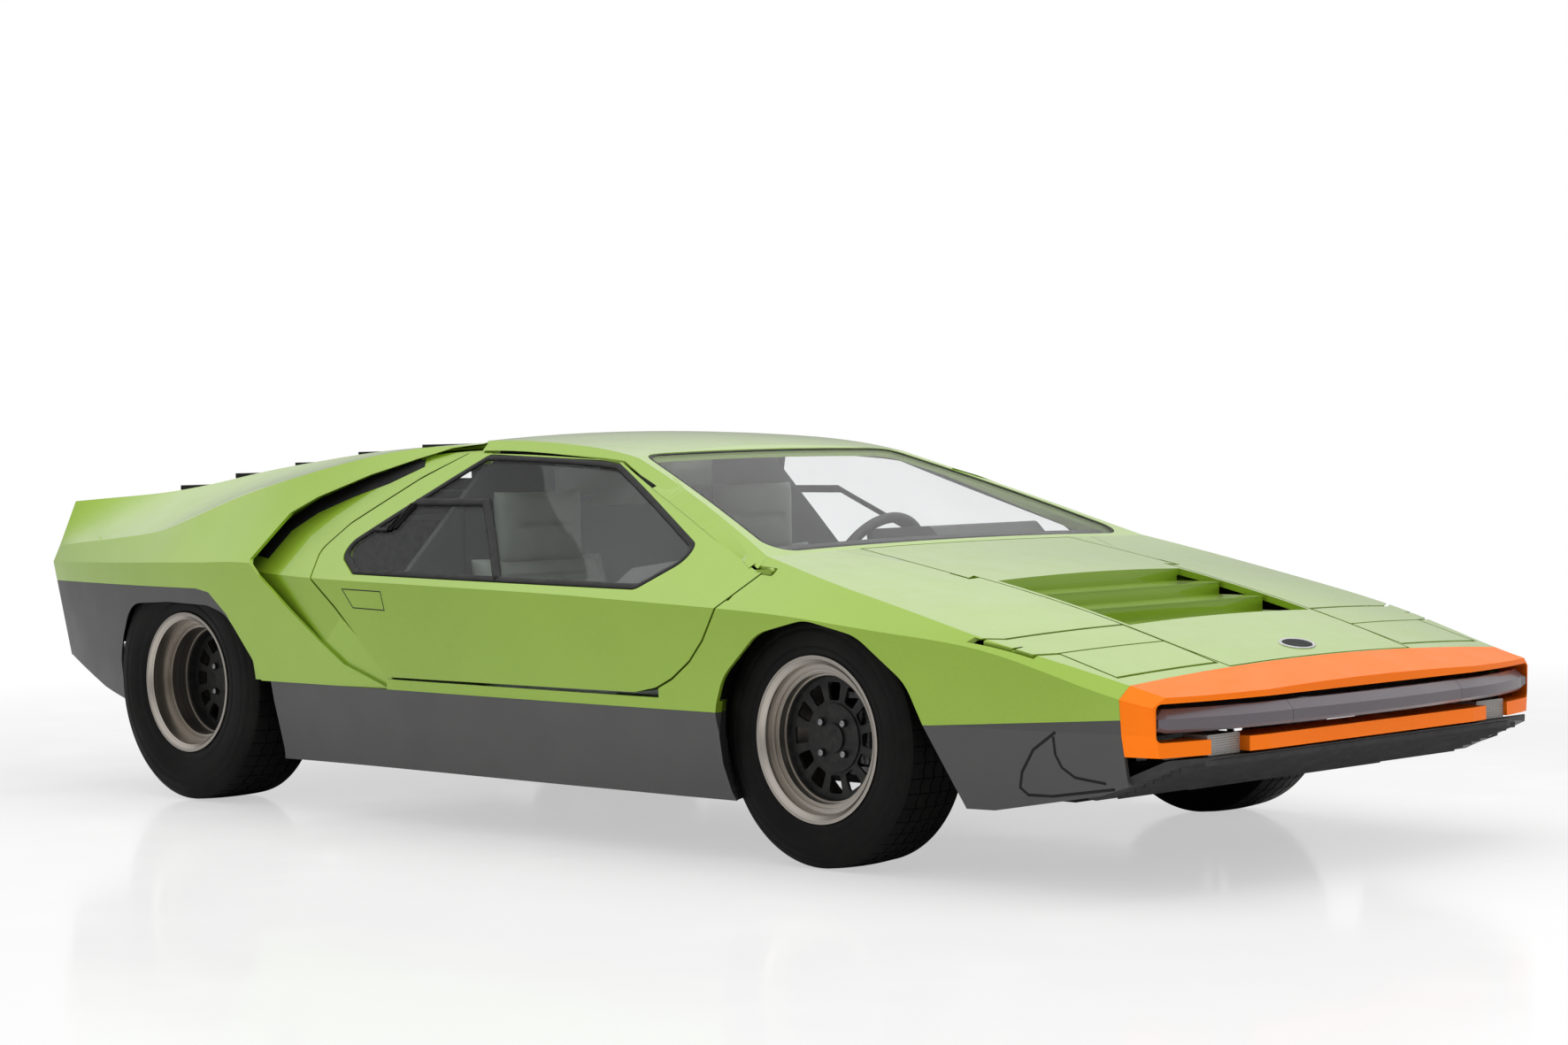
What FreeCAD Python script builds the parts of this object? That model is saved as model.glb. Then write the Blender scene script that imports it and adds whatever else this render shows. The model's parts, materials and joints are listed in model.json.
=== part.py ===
import FreeCAD, Part
import math
import os

os.makedirs("parts", exist_ok=True)

V = FreeCAD.Vector

# A two-seat mid-engined wedge coupe. X points forward, Y to the left, Z up; the origin is on the
# ground under the middle of the body. Lengths are in millimetres.

# Driving dimensions
wheelbase = 2350.0
front_axle_x = 1028.7
half_width = 890.0
height = 986.0
overrun = 40.0

# Panels and gaps
skin = 9.0
shut_gap = 5.5
seat_gap = 0.3
door_side_wall = 58.0
door_bevel_wall = 22.0
frame_wall = 24.0
bonnet_wall = 16.0
glass_wall = 5.0
glass_inset = 3.0

# Wheels
front_track_half = 675.0
rear_track_half = 722.5
front_tyre_radius = 293.0
rear_tyre_radius = 323.0
front_tyre_width = 200.0
rear_tyre_width = 235.0
rim_radius = 190.0
rim_bead_radius = 178.0
rim_wall = 7.0
front_dish_depth = 62.0
rear_dish_depth = 128.0
hub_radius = 34.0
spindle_radius = 15.0
running_fit = 0.06
slot_count = 12
nut_count = 4
nut_circle_radius = 49.0

# Steering
kingpin_y = 600.0
kingpin_radius = 11.0
steer_limit = 25.0
column_angle = 24.0
steering_wheel_radius = 178.0
steering_grip_radius = 14.0

# Pivots
pin_radius = 5.0
ear_radius = 9.0
ear_width = 12.0
door_pivot_back = 185.0
door_pivot_height = 664.0
lid_hinge_inset = 30.0
lid_hinge_depth = 14.0

# Gaps round the lids where they swing
pod_end_gap = 9.0
undercut = 23.0
lip_wall = 2.5

# Smallest share of a side that a corner's arc may take
corner_share = 0.48


def along(share):
    """Place along the car: a share of the wheelbase, ahead of the front axle."""
    return front_axle_x + share * wheelbase


def across(share):
    return share * half_width


def up(share):
    return share * height


def polygon_face(points):
    return Part.Face(Part.makePolygon(points + [points[0]]))


def rounded_face(corners, radius):
    """A flat face whose corners are arcs, as large as the radius and the sides allow."""
    arcs = []
    count = len(corners)
    for index in range(count):
        corner = corners[index]
        back = corners[index - 1] - corner
        ahead = corners[(index + 1) % count] - corner
        reach = corner_share * min(back.Length, ahead.Length)
        back.normalize()
        ahead.normalize()
        half_angle = back.getAngle(ahead) / 2
        arc_radius = min(radius, reach * math.tan(half_angle))
        setback = arc_radius / math.tan(half_angle)
        middle = (back + ahead).normalize()
        centre = corner + middle * (arc_radius / math.sin(half_angle))
        arcs.append((corner + back * setback, centre - middle * arc_radius, corner + ahead * setback))
    edges = []
    for index in range(count):
        start, middle, end = arcs[index]
        edges.append(Part.Arc(start, middle, end).toShape())
        following = arcs[(index + 1) % count][0]
        if end.distanceToPoint(following) > seat_gap / 10:
            edges.append(Part.LineSegment(end, following).toShape())
    return Part.Face(Part.Wire(edges))


def side_points(shares):
    return [(along(x), up(z)) for x, z in shares]


def side_prism(outline, y_low, y_high, radius=0):
    """A block with an outline seen from the side, given as (x, z) places."""
    corners = [V(x, y_low, z) for x, z in outline]
    face = rounded_face(corners, radius) if radius else polygon_face(corners)
    return face.extrude(V(0, y_high - y_low, 0))


def plan_prism(outline, z_low, z_high, radius=0):
    """A block with an outline seen from above, given as (x, y) places."""
    corners = [V(x, y, z_low) for x, y in outline]
    face = rounded_face(corners, radius) if radius else polygon_face(corners)
    return face.extrude(V(0, 0, z_high - z_low))


def front_prism(outline, x_low, x_high, radius=0):
    """A block with an outline seen from the front, given as (y, z) places."""
    corners = [V(x_low, y, z) for y, z in outline]
    face = rounded_face(corners, radius) if radius else polygon_face(corners)
    return face.extrude(V(x_high - x_low, 0, 0))


def block(x_low, x_high, y_low, y_high, z_low, z_high):
    return Part.makeBox(x_high - x_low, y_high - y_low, z_high - z_low, V(x_low, y_low, z_low))


def rod(start, end, radius):
    direction = end - start
    return Part.makeCylinder(radius, direction.Length, start, direction)


def tube_y(x, z, y_low, y_high, radius):
    return Part.makeCylinder(radius, y_high - y_low, V(x, y_low, z), V(0, 1, 0))


def tube_x(x_low, x_high, y, z, radius):
    return Part.makeCylinder(radius, x_high - x_low, V(x_low, y, z), V(1, 0, 0))


def mirrored(shape):
    return shape.mirror(V(0, 0, 0), V(0, 1, 0))


def lowered(shape, depth):
    return shape.translated(V(0, 0, -depth))


def grown(outline, margin):
    """Move each side of an outline outwards by the margin, or inwards when it is negative."""
    count = len(outline)
    area = sum(outline[i - 1][0] * outline[i][1] - outline[i][0] * outline[i - 1][1] for i in range(count))
    turn = 1 if area > 0 else -1
    moved = []
    for index in range(count):
        here = outline[index]
        back = outline[index - 1]
        ahead = outline[(index + 1) % count]
        first = normal_of(back, here, turn)
        second = normal_of(here, ahead, turn)
        scale = margin / (1 + first[0] * second[0] + first[1] * second[1])
        moved.append((here[0] + scale * (first[0] + second[0]), here[1] + scale * (first[1] + second[1])))
    return moved


def normal_of(start, end, turn):
    run = end[0] - start[0]
    rise = end[1] - start[1]
    size = math.hypot(run, rise)
    return (turn * rise / size, -turn * run / size)


def offset_sides(outline, walls):
    """Move each side of a closed outline inwards by its own wall."""
    count = len(outline)
    area = sum(outline[i - 1][0] * outline[i][1] - outline[i][0] * outline[i - 1][1] for i in range(count))
    turn = 1 if area > 0 else -1
    moved = []
    for index in range(count):
        here = outline[index]
        first = normal_of(outline[index - 1], here, turn)
        second = normal_of(here, outline[(index + 1) % count], turn)
        first_wall = walls[index - 1]
        second_wall = walls[index]
        cross = first[0] * second[1] - first[1] * second[0]
        shift_x = (first_wall * second[1] - second_wall * first[1]) / cross
        shift_y = (second_wall * first[0] - first_wall * second[0]) / cross
        moved.append((here[0] - shift_x, here[1] - shift_y))
    return moved


def flowing_solid(sections):
    """A solid whose corner lines flow smoothly through the corners of its cross sections."""
    places = [section[0].x for section in sections]
    length = places[0] - places[-1]
    stations = [(places[0] - place) / length for place in places]
    lines = []
    for corners in zip(*sections):
        curve = Part.BSplineCurve()
        curve.interpolate(Points=list(corners), Parameters=stations)
        lines.append(curve.toShape())
    faces = [Part.makeRuledSurface(lines[index - 1], lines[index]) for index in range(len(lines))]
    faces += [polygon_face(list(sections[0])), polygon_face(list(sections[-1]))]
    shell = Part.makeCompound(faces)
    shell.sewShape()
    solid = Part.makeSolid(shell.Shells[0] if shell.Shells else Part.Shell(shell.Faces))
    if solid.Volume < 0:
        solid.reverse()
    return solid


# Front and middle of the body, from the nose to behind the door. Each row is a place along the
# car, then the widest line, the top of the sloping side, the grey line and the foot of the side.
# columns: x, belt y, belt z, cap y, cap z, grey line y, foot y, foot z
body_shares = [
    (0.412, 0.772, 0.402, 0.612, 0.507, 0.762, 0.735, 0.205),
    (0.353, 0.802, 0.426, 0.632, 0.538, 0.796, 0.760, 0.190),
    (0.213, 0.860, 0.519, 0.694, 0.629, 0.852, 0.812, 0.166),
    (0.106, 0.899, 0.551, 0.681, 0.690, 0.888, 0.845, 0.152),
    (0.000, 0.928, 0.578, 0.652, 0.751, 0.915, 0.872, 0.146),
    (-0.115, 0.942, 0.594, 0.583, 0.832, 0.928, 0.886, 0.143),
    (-0.234, 0.951, 0.604, 0.520, 0.913, 0.937, 0.895, 0.143),
    (-0.353, 0.957, 0.613, 0.464, 0.984, 0.943, 0.901, 0.143),
    (-0.489, 0.961, 0.619, 0.460, 1.034, 0.947, 0.905, 0.143),
    (-0.609, 0.962, 0.624, 0.488, 1.045, 0.948, 0.906, 0.143),
    (-0.745, 0.958, 0.630, 0.521, 1.045, 0.944, 0.902, 0.141),
    (-0.894, 0.946, 0.649, 0.560, 1.045, 0.932, 0.890, 0.135),
]
grey_line_share = 0.350


def tent(side_wall, bevel_wall):
    """The sides of the body as a solid, drawn in by a wall on its sides and slopes."""
    sections = []
    for x_share, belt_y, belt_z, cap_y, cap_z, grey_y, foot_y, foot_z in body_shares:
        half = [(foot_y, foot_z), (grey_y, grey_line_share), (belt_y, belt_z), (cap_y, cap_z)]
        left = [(across(y), up(z)) for y, z in half]
        outline = left + [(-y, z) for y, z in reversed(left)]
        walls = [side_wall, side_wall, bevel_wall, 0, bevel_wall, side_wall, side_wall, 0]
        drawn_in = offset_sides(outline, walls)
        sections.append([V(along(x_share), y, z) for y, z in drawn_in])
    return flowing_solid(sections)


# Upper surfaces: x, height on the centre line, fall at the crown's half width
crown_half_share = 0.787
bonnet_shares = [
    (0.430, 0.426, 0.018),
    (0.323, 0.498, 0.027),
    (0.149, 0.609, 0.030),
    (0.021, 0.670, 0.025),
    (-0.106, 0.720, 0.010),
    (-0.191, 0.755, 0.008),
]
screen_shares = [
    (-0.010, 0.647, 0.012),
    (-0.100, 0.7185, 0.012),
    (-0.255, 0.848, 0.014),
    (-0.403, 0.9595, 0.016),
    (-0.550, 1.069, 0.018),
    (-0.950, 1.367, 0.018),
]
roof_shares = [
    (-0.050, 0.790, 0.028),
    (-0.340, 0.928, 0.030),
    (-0.403, 0.9595, 0.030),
    (-0.511, 0.990, 0.032),
    (-0.600, 1.000, 0.034),
    (-0.700, 0.990, 0.034),
    (-0.950, 0.940, 0.034),
]


def crowned(rows, depth=0):
    """The solid under a crowned upper surface, lowered by a depth."""
    sections = []
    edge_share = 1.1
    for x_share, centre_z, fall in rows:
        x = along(x_share)
        top = up(centre_z) - depth
        edge = top - up(fall) * (edge_share / crown_half_share) ** 2
        reach = across(edge_share)
        arc = Part.Arc(V(x, -reach, edge), V(x, 0, top), V(x, reach, edge)).toShape()
        right = Part.LineSegment(V(x, reach, edge), V(x, reach, 0)).toShape()
        foot = Part.LineSegment(V(x, reach, 0), V(x, -reach, 0)).toShape()
        left = Part.LineSegment(V(x, -reach, 0), V(x, -reach, edge)).toShape()
        sections.append(Part.Wire([arc, right, foot, left]))
    return Part.makeLoft(sections, True, False)


# Rear quarter, from the roof's rear corner to the tail: x, then the foot, the widest line, the
# lower crease and the ridge of the sail, each as y and z.
rear_shares = [
    (-0.600, 0.915, 0.143, 0.966, 0.624, 0.572, 0.974, 0.564, 0.979),
    (-0.650, 0.918, 0.143, 0.972, 0.633, 0.590, 0.971, 0.563, 0.975),
    (-0.719, 0.922, 0.143, 0.983, 0.648, 0.622, 0.963, 0.562, 0.968),
    (-0.798, 0.928, 0.130, 0.993, 0.662, 0.703, 0.930, 0.563, 0.958),
    (-0.864, 0.935, 0.125, 0.998, 0.668, 0.790, 0.886, 0.573, 0.944),
    (-0.932, 0.935, 0.150, 0.996, 0.664, 0.842, 0.840, 0.588, 0.926),
    (-1.011, 0.930, 0.200, 0.988, 0.660, 0.895, 0.775, 0.608, 0.902),
    (-1.064, 0.925, 0.230, 0.978, 0.657, 0.908, 0.742, 0.629, 0.881),
    (-1.113, 0.915, 0.250, 0.966, 0.654, 0.910, 0.728, 0.645, 0.863),
    (-1.183, 0.892, 0.285, 0.944, 0.651, 0.902, 0.714, 0.675, 0.843),
    (-1.251, 0.862, 0.330, 0.920, 0.648, 0.888, 0.702, 0.735, 0.830),
    (-1.298, 0.838, 0.375, 0.899, 0.647, 0.874, 0.692, 0.815, 0.820),
]

def rear_body(wall):
    sections = []
    for row in rear_shares:
        x_share, foot_y, foot_z, belt_y, belt_z, crease_y, crease_z, ridge_y, ridge_z = row
        half = [(foot_y, foot_z), (belt_y, belt_z), (crease_y, crease_z), (ridge_y, ridge_z)]
        left = [(across(y), up(z)) for y, z in half]
        outline = left + [(-y, z) for y, z in reversed(left)]
        walls = [wall, wall, wall, wall, wall, wall, wall, 0]
        drawn_in = offset_sides(outline, walls)
        sections.append([V(along(x_share), y, z) for y, z in drawn_in])
    return flowing_solid(sections)


def looked_up(rows, share, column):
    """Read a column of a table of stations at a place along the car."""
    ahead = rows[0]
    for behind in rows[1:]:
        if share >= behind[0]:
            break
        ahead = behind
    part = (share - behind[0]) / (ahead[0] - behind[0])
    return behind[column] + part * (ahead[column] - behind[column])


def save(name, shapes):
    """Write one node; solids that don't touch stay separate solids of the node."""
    solids = [solid for shape in shapes for solid in shape.Solids if solid.Volume > sliver_volume]
    node = solids[0] if len(solids) == 1 else Part.makeCompound(solids)
    node.exportStep("parts/" + name + ".step")


sliver_volume = skin ** 3
outer_tent = tent(0, 0)
skin_tent = tent(skin, skin)
wall_tent = tent(door_side_wall, door_bevel_wall)
sill_tent = tent(door_side_wall, skin)
under_bonnet = crowned(bonnet_shares)
under_bonnet_skin = crowned(bonnet_shares, skin)
under_bonnet_lid = crowned(bonnet_shares, bonnet_wall)
under_screen = crowned(screen_shares)
under_roof = crowned(roof_shares)
rear_outer = rear_body(0)
rear_inner = rear_body(skin)

# Outlines seen from the side
door_shares = [
    (-0.0780, 0.715),
    (-0.1064, 0.598),
    (-0.1270, 0.518),
    (-0.1463, 0.468),
    (-0.1719, 0.425),
    (-0.1950, 0.400),
    (-0.2250, 0.386),
    (-0.6170, 0.382),
    (-0.7021, 0.556),
    (-0.7447, 0.629),
    (-0.7617, 0.700),
    (-0.7426, 0.768),
    (-0.6796, 0.884),
    (-0.6170, 0.970),
    (-0.6100, 1.100),
    (-0.0780, 1.100),
]
window_shares = [
    (-0.7328, 0.700),
    (-0.6783, 0.642),
    (-0.2311, 0.627),
    (-0.1851, 0.716),
    (-0.4047, 0.928),
    (-0.5979, 0.948),
]
front_arch_shares = [
    (-0.0900, 0.060),
    (-0.1090, 0.250),
    (-0.1149, 0.350),
    (-0.1013, 0.434),
    (-0.0523, 0.539),
    (0.0089, 0.574),
    (0.0702, 0.542),
    (0.1251, 0.441),
    (0.1685, 0.219),
    (0.2000, 0.060),
]
rear_arch_shares = [
    (-1.1400, 0.060),
    (-1.1300, 0.380),
    (-1.1106, 0.539),
    (-1.0106, 0.551),
    (-0.9298, 0.547),
    (-0.8936, 0.525),
    (-0.8511, 0.402),
    (-0.8340, 0.300),
    (-0.8250, 0.060),
]
quarter_front_shares = [
    (-0.6190, 1.100),
    (-0.6190, 0.975),
    (-0.6596, 0.965),
    (-0.7021, 0.937),
    (-0.7540, 0.896),
    (-0.8055, 0.839),
    (-0.8298, 0.796),
    (-0.8426, 0.676),
    (-0.8268, 0.636),
    (-0.7762, 0.544),
    (-0.7294, 0.465),
    (-0.6915, 0.407),
    (-0.6536, 0.378),
    (-0.6200, 0.352),
]
window_corner = 34.0
arch_corner = 120.0

door_inner_shares = [
    (-0.0600, 0.797),
    (-0.1000, 0.812),
    (-0.3953, 0.560),
    (-0.4255, 0.562),
    (-0.7000, 0.612),
    (-0.8000, 0.630),
    (-0.8000, 1.060),
    (-0.0600, 1.060),
]
door_outline = side_points(door_shares)
door_inner_line = [(along(x), across(y)) for x, y in door_inner_shares]
door_zone = plan_prism(door_inner_line, 0, height + overrun)
door_gap_zone = plan_prism(grown(door_inner_line, shut_gap), 0, height + overrun)
door_hole = side_prism(grown(door_outline, shut_gap), 0, half_width + overrun, window_corner)
door_hole = door_hole.common(door_gap_zone)
door_block = side_prism(door_outline, 0, half_width + overrun, window_corner).common(door_zone)
window_outline = side_points(window_shares)
window_hole = side_prism(window_outline, 0, half_width + overrun, window_corner)
front_arch = side_prism(side_points(front_arch_shares), across(0.48), half_width + overrun, arch_corner)
rear_arch = side_prism(side_points(rear_arch_shares), across(0.60), half_width + overrun, arch_corner)

screen_base_x = along(-0.0980)
roof_rear_x = along(-0.6170)
tail_x = along(-1.2960)
cover_half = across(0.515)
lid_end_gap = 7.0
cover_front_x = roof_rear_x - lid_end_gap
cover_rear_x = along(-1.2680)
nose_rear_x = along(0.3540)
grey_z = up(grey_line_share)
tail_grey_z = up(0.592)


tyre_shoulder_share = 0.11
tyre_clearance = 9.0
sweep_steps = 14


def revolved(profile):
    """Turn a profile of (y, radius) places about a line along Y through the origin."""
    face = polygon_face([V(0, y, radius) for y, radius in profile])
    return face.revolve(V(0, 0, 0), V(0, 1, 0), 360)


def tyre_profile(width, radius, inner_radius):
    """Half sections of a low tyre as (y, radius) places: bead, bulging wall, round shoulder, flat tread."""
    wall = radius - inner_radius
    shoulder = tyre_shoulder_share * width
    side = [
        (0.40 * width, inner_radius),
        (0.45 * width, inner_radius + 0.25 * wall),
        (0.49 * width, inner_radius + 0.45 * wall),
        (0.50 * width, inner_radius + 0.60 * wall),
        (0.50 * width, radius - 1.30 * shoulder),
        (0.474 * width, radius - 0.78 * shoulder),
        (0.42 * width, radius - 0.29 * shoulder),
        (0.34 * width, radius),
    ]
    return side + [(-y, place) for y, place in reversed(side)]


def room_profile(width, radius, inner_radius):
    """A plain section round the whole tyre."""
    shoulder = tyre_shoulder_share * width
    side = [
        (0.40 * width, inner_radius),
        (0.50 * width, (inner_radius + radius) / 2),
        (0.50 * width, radius - shoulder),
        (0.50 * width - shoulder, radius),
    ]
    return side + [(-y, place) for y, place in reversed(side)]


def tyre_room(width, radius, x, y, angles, kingpin):
    """The space a turning and steering tyre needs, with its clearance."""
    spaces = []
    for angle in angles:
        space = revolved(room_profile(width + 2 * tyre_clearance, radius + tyre_clearance, hub_radius))
        space.translate(V(x, y, radius))
        if angle:
            space.rotate(V(x, kingpin, 0), V(0, 0, 1), angle)
        spaces.append(space)
    return spaces


def steering_sweep(width, radius, x, y, kingpin):
    """The space swept by the outer edge of a tyre while it steers about its kingpin."""
    reach = radius + tyre_clearance
    full_width = width + 2 * tyre_clearance
    side = y - kingpin + full_width / 2 - tyre_shoulder_share * full_width
    section = [V(0, 0, -tyre_clearance)]
    for step in range(sweep_steps + 1):
        angle = math.pi * (step / sweep_steps - 1 / 2)
        section.append(V(math.hypot(reach * math.cos(angle), side), 0, radius + reach * math.sin(angle)))
    section.append(V(0, 0, radius + reach))
    half_turn = math.degrees(math.atan2(reach, side)) + steer_limit
    face = polygon_face(section)
    face.rotate(V(0, 0, 0), V(0, 0, 1), 90 - half_turn)
    sweep = face.revolve(V(0, 0, 0), V(0, 0, 1), 2 * half_turn)
    sweep.translate(V(x, kingpin, 0))
    return sweep


front_axle_z = front_tyre_radius
rear_axle_z = rear_tyre_radius
rear_axle_x = front_axle_x - wheelbase
steer_angles = (-steer_limit, 0, steer_limit)
front_room = tyre_room(front_tyre_width, front_tyre_radius, front_axle_x, front_track_half, steer_angles,
                       kingpin_y)
front_room.append(steering_sweep(front_tyre_width, front_tyre_radius, front_axle_x, front_track_half, kingpin_y))
rear_room = tyre_room(rear_tyre_width, rear_tyre_radius, rear_axle_x, rear_track_half, (0,), 0)


def on_both_sides(shape):
    return [shape, mirrored(shape)]


def carved(shape, rooms):
    """Cut the rooms out one after another."""
    for room in rooms:
        shape = shape.cut(room)
    return shape


def save_pair(name, shapes):
    save(name + "_left", shapes)
    save(name + "_right", [mirrored(shape) for shape in shapes])


# Lids: outlines seen from above, left half
bonnet_edge_shares = [
    (0.3510, 0.371),
    (0.2980, 0.382),
    (0.2336, 0.383),
    (0.0426, 0.388),
    (0.0480, 0.4225),
    (-0.0955, 0.4225),
]
bonnet_half = [(along(x), across(y)) for x, y in bonnet_edge_shares]
bonnet_outline = bonnet_half + [(x, -y) for x, y in reversed(bonnet_half)]
front_flap_shares = [(0.3387, 0.391), (0.2809, 0.392), (0.2676, 0.742), (0.3323, 0.741)]
rear_flap_shares = [
    (0.2320, 0.393),
    (0.2785, 0.392),
    (0.2652, 0.742),
    (0.2574, 0.812),
    (0.2072, 0.838),
    (0.2180, 0.787),
]
front_flap_outline = [(along(x), across(y)) for x, y in front_flap_shares]
rear_flap_outline = [(along(x), across(y)) for x, y in rear_flap_shares]
pod_shares = [
    (0.3387, 0.391),
    (0.2320, 0.393),
    (0.2180, 0.787),
    (0.2072, 0.838),
    (0.2574, 0.812),
    (0.2652, 0.742),
    (0.3323, 0.741),
]
pod_outline = [(along(x), across(y)) for x, y in pod_shares]
pod_gap = 6.0
pod_wide_gap = 10.5
pod_gaps = [pod_gap, pod_end_gap, pod_end_gap, pod_end_gap, pod_wide_gap, pod_gap, pod_end_gap]
pod_room = offset_sides(pod_outline, [-gap for gap in pod_gaps])
pod_gaps[1] = undercut
pod_gaps[2] = undercut
pod_undercut = offset_sides(pod_outline, [-gap for gap in pod_gaps])
jog_shares = [(0.0480, 0.380), (0.0480, 0.4225), (0.0300, 0.4225), (0.0300, 0.380)]
jog_outline = [(along(x), across(y)) for x, y in jog_shares]
lid_floor_z = up(0.40)
lid_top_z = height

nose_outer = outer_tent.common(under_bonnet)
nose_shell = nose_outer.cut(skin_tent.common(under_bonnet_skin))
lid_shell = nose_outer.cut(under_bonnet_lid.common(tent(bonnet_wall, bonnet_wall)))


def bonnet_surface_z(x):
    """Height of the bonnet's centre line at a place along the car."""
    share = (x - front_axle_x) / wheelbase
    return up(looked_up(bonnet_shares, share, 1))


# Door hinge
door_pivot_x = front_axle_x - door_pivot_back
door_ear_y = across(0.803)
link_length = 42.0


strip_top = up(0.382) - shut_gap
strip_rear = along(-0.6185)
strip_block = block(strip_rear, along(-0.100), 0, half_width + overrun, grey_z, strip_top)
valance_shares = [
    (0.0900, 0.060),
    (0.4200, 0.060),
    (0.4200, 0.381),
    (0.3540, 0.381),
    (0.1500, 0.3497),
    (0.0900, 0.3497),
]


def make_front_fender():
    upper = block(screen_base_x + seat_gap, nose_rear_x - seat_gap, 0, half_width + overrun, grey_z, height)
    lower = block(along(-0.2250), screen_base_x + overrun, across(0.70), half_width + overrun, grey_z,
                  up(0.61))
    fender = nose_shell.common(upper.fuse(lower))
    strip = outer_tent.cut(sill_tent).common(strip_block)
    fender = fender.fuse(strip)
    cutters = [door_hole, front_arch]
    cutters.append(side_prism(grown(side_points(valance_shares), seat_gap), 0, half_width + overrun))
    cutters.append(plan_prism(grown(bonnet_outline, shut_gap), lid_floor_z, lid_top_z))
    cutters.append(plan_prism(grown(jog_outline, pod_wide_gap), lid_floor_z, lid_top_z))
    cutters.append(plan_prism(pod_room, lid_floor_z, lid_top_z))
    cutters.append(plan_prism(pod_undercut, lid_floor_z, lid_top_z).common(crowned(bonnet_shares, lip_wall)))
    fender = carved(fender.cut(cutters), front_room)
    ear_room = tube_y(door_pivot_x, door_pivot_height, door_ear_y - shut_gap,
                      door_ear_y + ear_width + shut_gap, ear_radius + shut_gap)
    link_room = block(door_pivot_x - link_length - shut_gap, door_pivot_x, door_ear_y - shut_gap,
                      door_ear_y + ear_width + shut_gap, door_pivot_height - 2 * ear_radius - shut_gap / 2, height)
    pin = tube_y(door_pivot_x, door_pivot_height, door_ear_y - 4 * ear_width,
                 door_ear_y + ear_width, pin_radius)
    pin_seat = tube_y(door_pivot_x, door_pivot_height, door_ear_y - 4 * ear_width,
                      door_ear_y - shut_gap, ear_radius)
    return fender.cut([ear_room, link_room]).fuse([pin_seat.common(nose_outer), pin])


def make_door():
    door = outer_tent.cut(wall_tent).common(door_block)
    door = door.cut(window_hole)
    ear = tube_y(door_pivot_x, door_pivot_height, door_ear_y, door_ear_y + ear_width, ear_radius)
    link_rear = door_pivot_x - link_length
    link = side_prism(
        [
            (door_pivot_x, door_pivot_height + ear_radius / 2),
            (door_pivot_x, door_pivot_height - ear_radius),
            (link_rear, door_pivot_height - 1.5 * ear_radius),
            (link_rear, door_pivot_height + ear_radius / 2),
        ],
        door_ear_y,
        door_ear_y + ear_width,
    )
    bore = tube_y(door_pivot_x, door_pivot_height, 0, half_width, pin_radius + running_fit)
    return door.fuse([ear, link]).cut(bore)


def make_door_glass():
    pane = side_prism(grown(window_outline, -seat_gap), 0, half_width + overrun, window_corner)
    outer = tent(glass_inset, glass_inset)
    inner = tent(glass_inset + glass_wall, glass_inset + glass_wall)
    return outer.cut(inner).common(pane).common(door_zone)


def make_rear_fender():
    shell = rear_outer.cut(rear_inner)
    outline = side_points(quarter_front_shares)
    outline += [
        (outline[-1][0], grey_z),
        (along(-0.840), grey_z),
        (along(-0.8936), up(0.525)),
        (along(-0.925), tail_grey_z - skin),
        (along(-0.950), tail_grey_z),
        (tail_x, tail_grey_z),
        (tail_x, height + overrun),
        (outline[0][0], height + overrun),
    ]
    quarter = shell.common(side_prism(outline, cover_half + shut_gap, half_width + overrun))
    return quarter.cut([rear_arch] + rear_room)


def make_tail_deck():
    shell = rear_outer.cut(rear_inner)
    half = cover_half + shut_gap - seat_gap
    return shell.common(block(tail_x, cover_rear_x - lid_end_gap, -half, half, tail_grey_z, height))



front_fender = make_front_fender()
door = make_door()
door_glass = make_door_glass()
rear_fender = make_rear_fender()
save_pair("front_fender", [front_fender])
save_pair("rear_fender", [rear_fender])
save_pair("door", [door])
save_pair("door_glass", [door_glass])


# Roof with its windscreen frame and pillars
screen_opening_shares = [(-0.1060, 0.722), (-0.3900, 0.497), (-0.3900, -0.497), (-0.1060, -0.722)]
screen_opening = [(along(x), across(y)) for x, y in screen_opening_shares]
screen_corner = 60.0
roof_lip = 4.0


def make_roof():
    outer = outer_tent.common(under_screen).common(under_roof)
    inner = lowered(under_screen, frame_wall).common(lowered(under_roof, frame_wall))
    slab = outer.cut(inner)
    ends = (roof_rear_x, screen_base_x - seat_gap)
    slab = slab.common(block(ends[0], ends[1], -half_width, half_width, 0, height + overrun))
    opening = plan_prism(screen_opening, 0, height + overrun, screen_corner)
    rebate = block(roof_rear_x, roof_rear_x + lid_end_gap, -half_width, half_width, 0, height)
    holes = [opening, rebate.common(lowered(under_roof, roof_lip))] + on_both_sides(door_hole)
    return slab.cut(holes)


def make_windscreen():
    pane = plan_prism(grown(screen_opening, -seat_gap), 0, height + overrun, screen_corner)
    top = lowered(under_screen, glass_inset).common(lowered(under_roof, glass_inset))
    below = lowered(under_screen, glass_inset + glass_wall)
    return top.cut(below).common(pane)


save("roof_panel", [make_roof()])
save("windscreen", [make_windscreen()])


# Side walls behind the doors, inside the V-shaped intakes
def make_body_side():
    wall = outer_tent.cut(tent(frame_wall, frame_wall))
    zone = block(along(-0.8800), along(-0.600), 0, half_width + overrun, grey_z, height + overrun)
    side = wall.common(zone).common(lowered(under_roof, frame_wall + seat_gap))
    side = side.common(plan_prism(side_wall_line, 0, height + overrun))
    strip_room = block(strip_rear - seat_gap, wheelbase, 0, half_width + overrun, 0, strip_top + seat_gap)
    side = side.cut([door_hole, rear_fender_full, strip_room] + rear_room)
    return max(side.Solids, key=lambda solid: solid.Volume)


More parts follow.
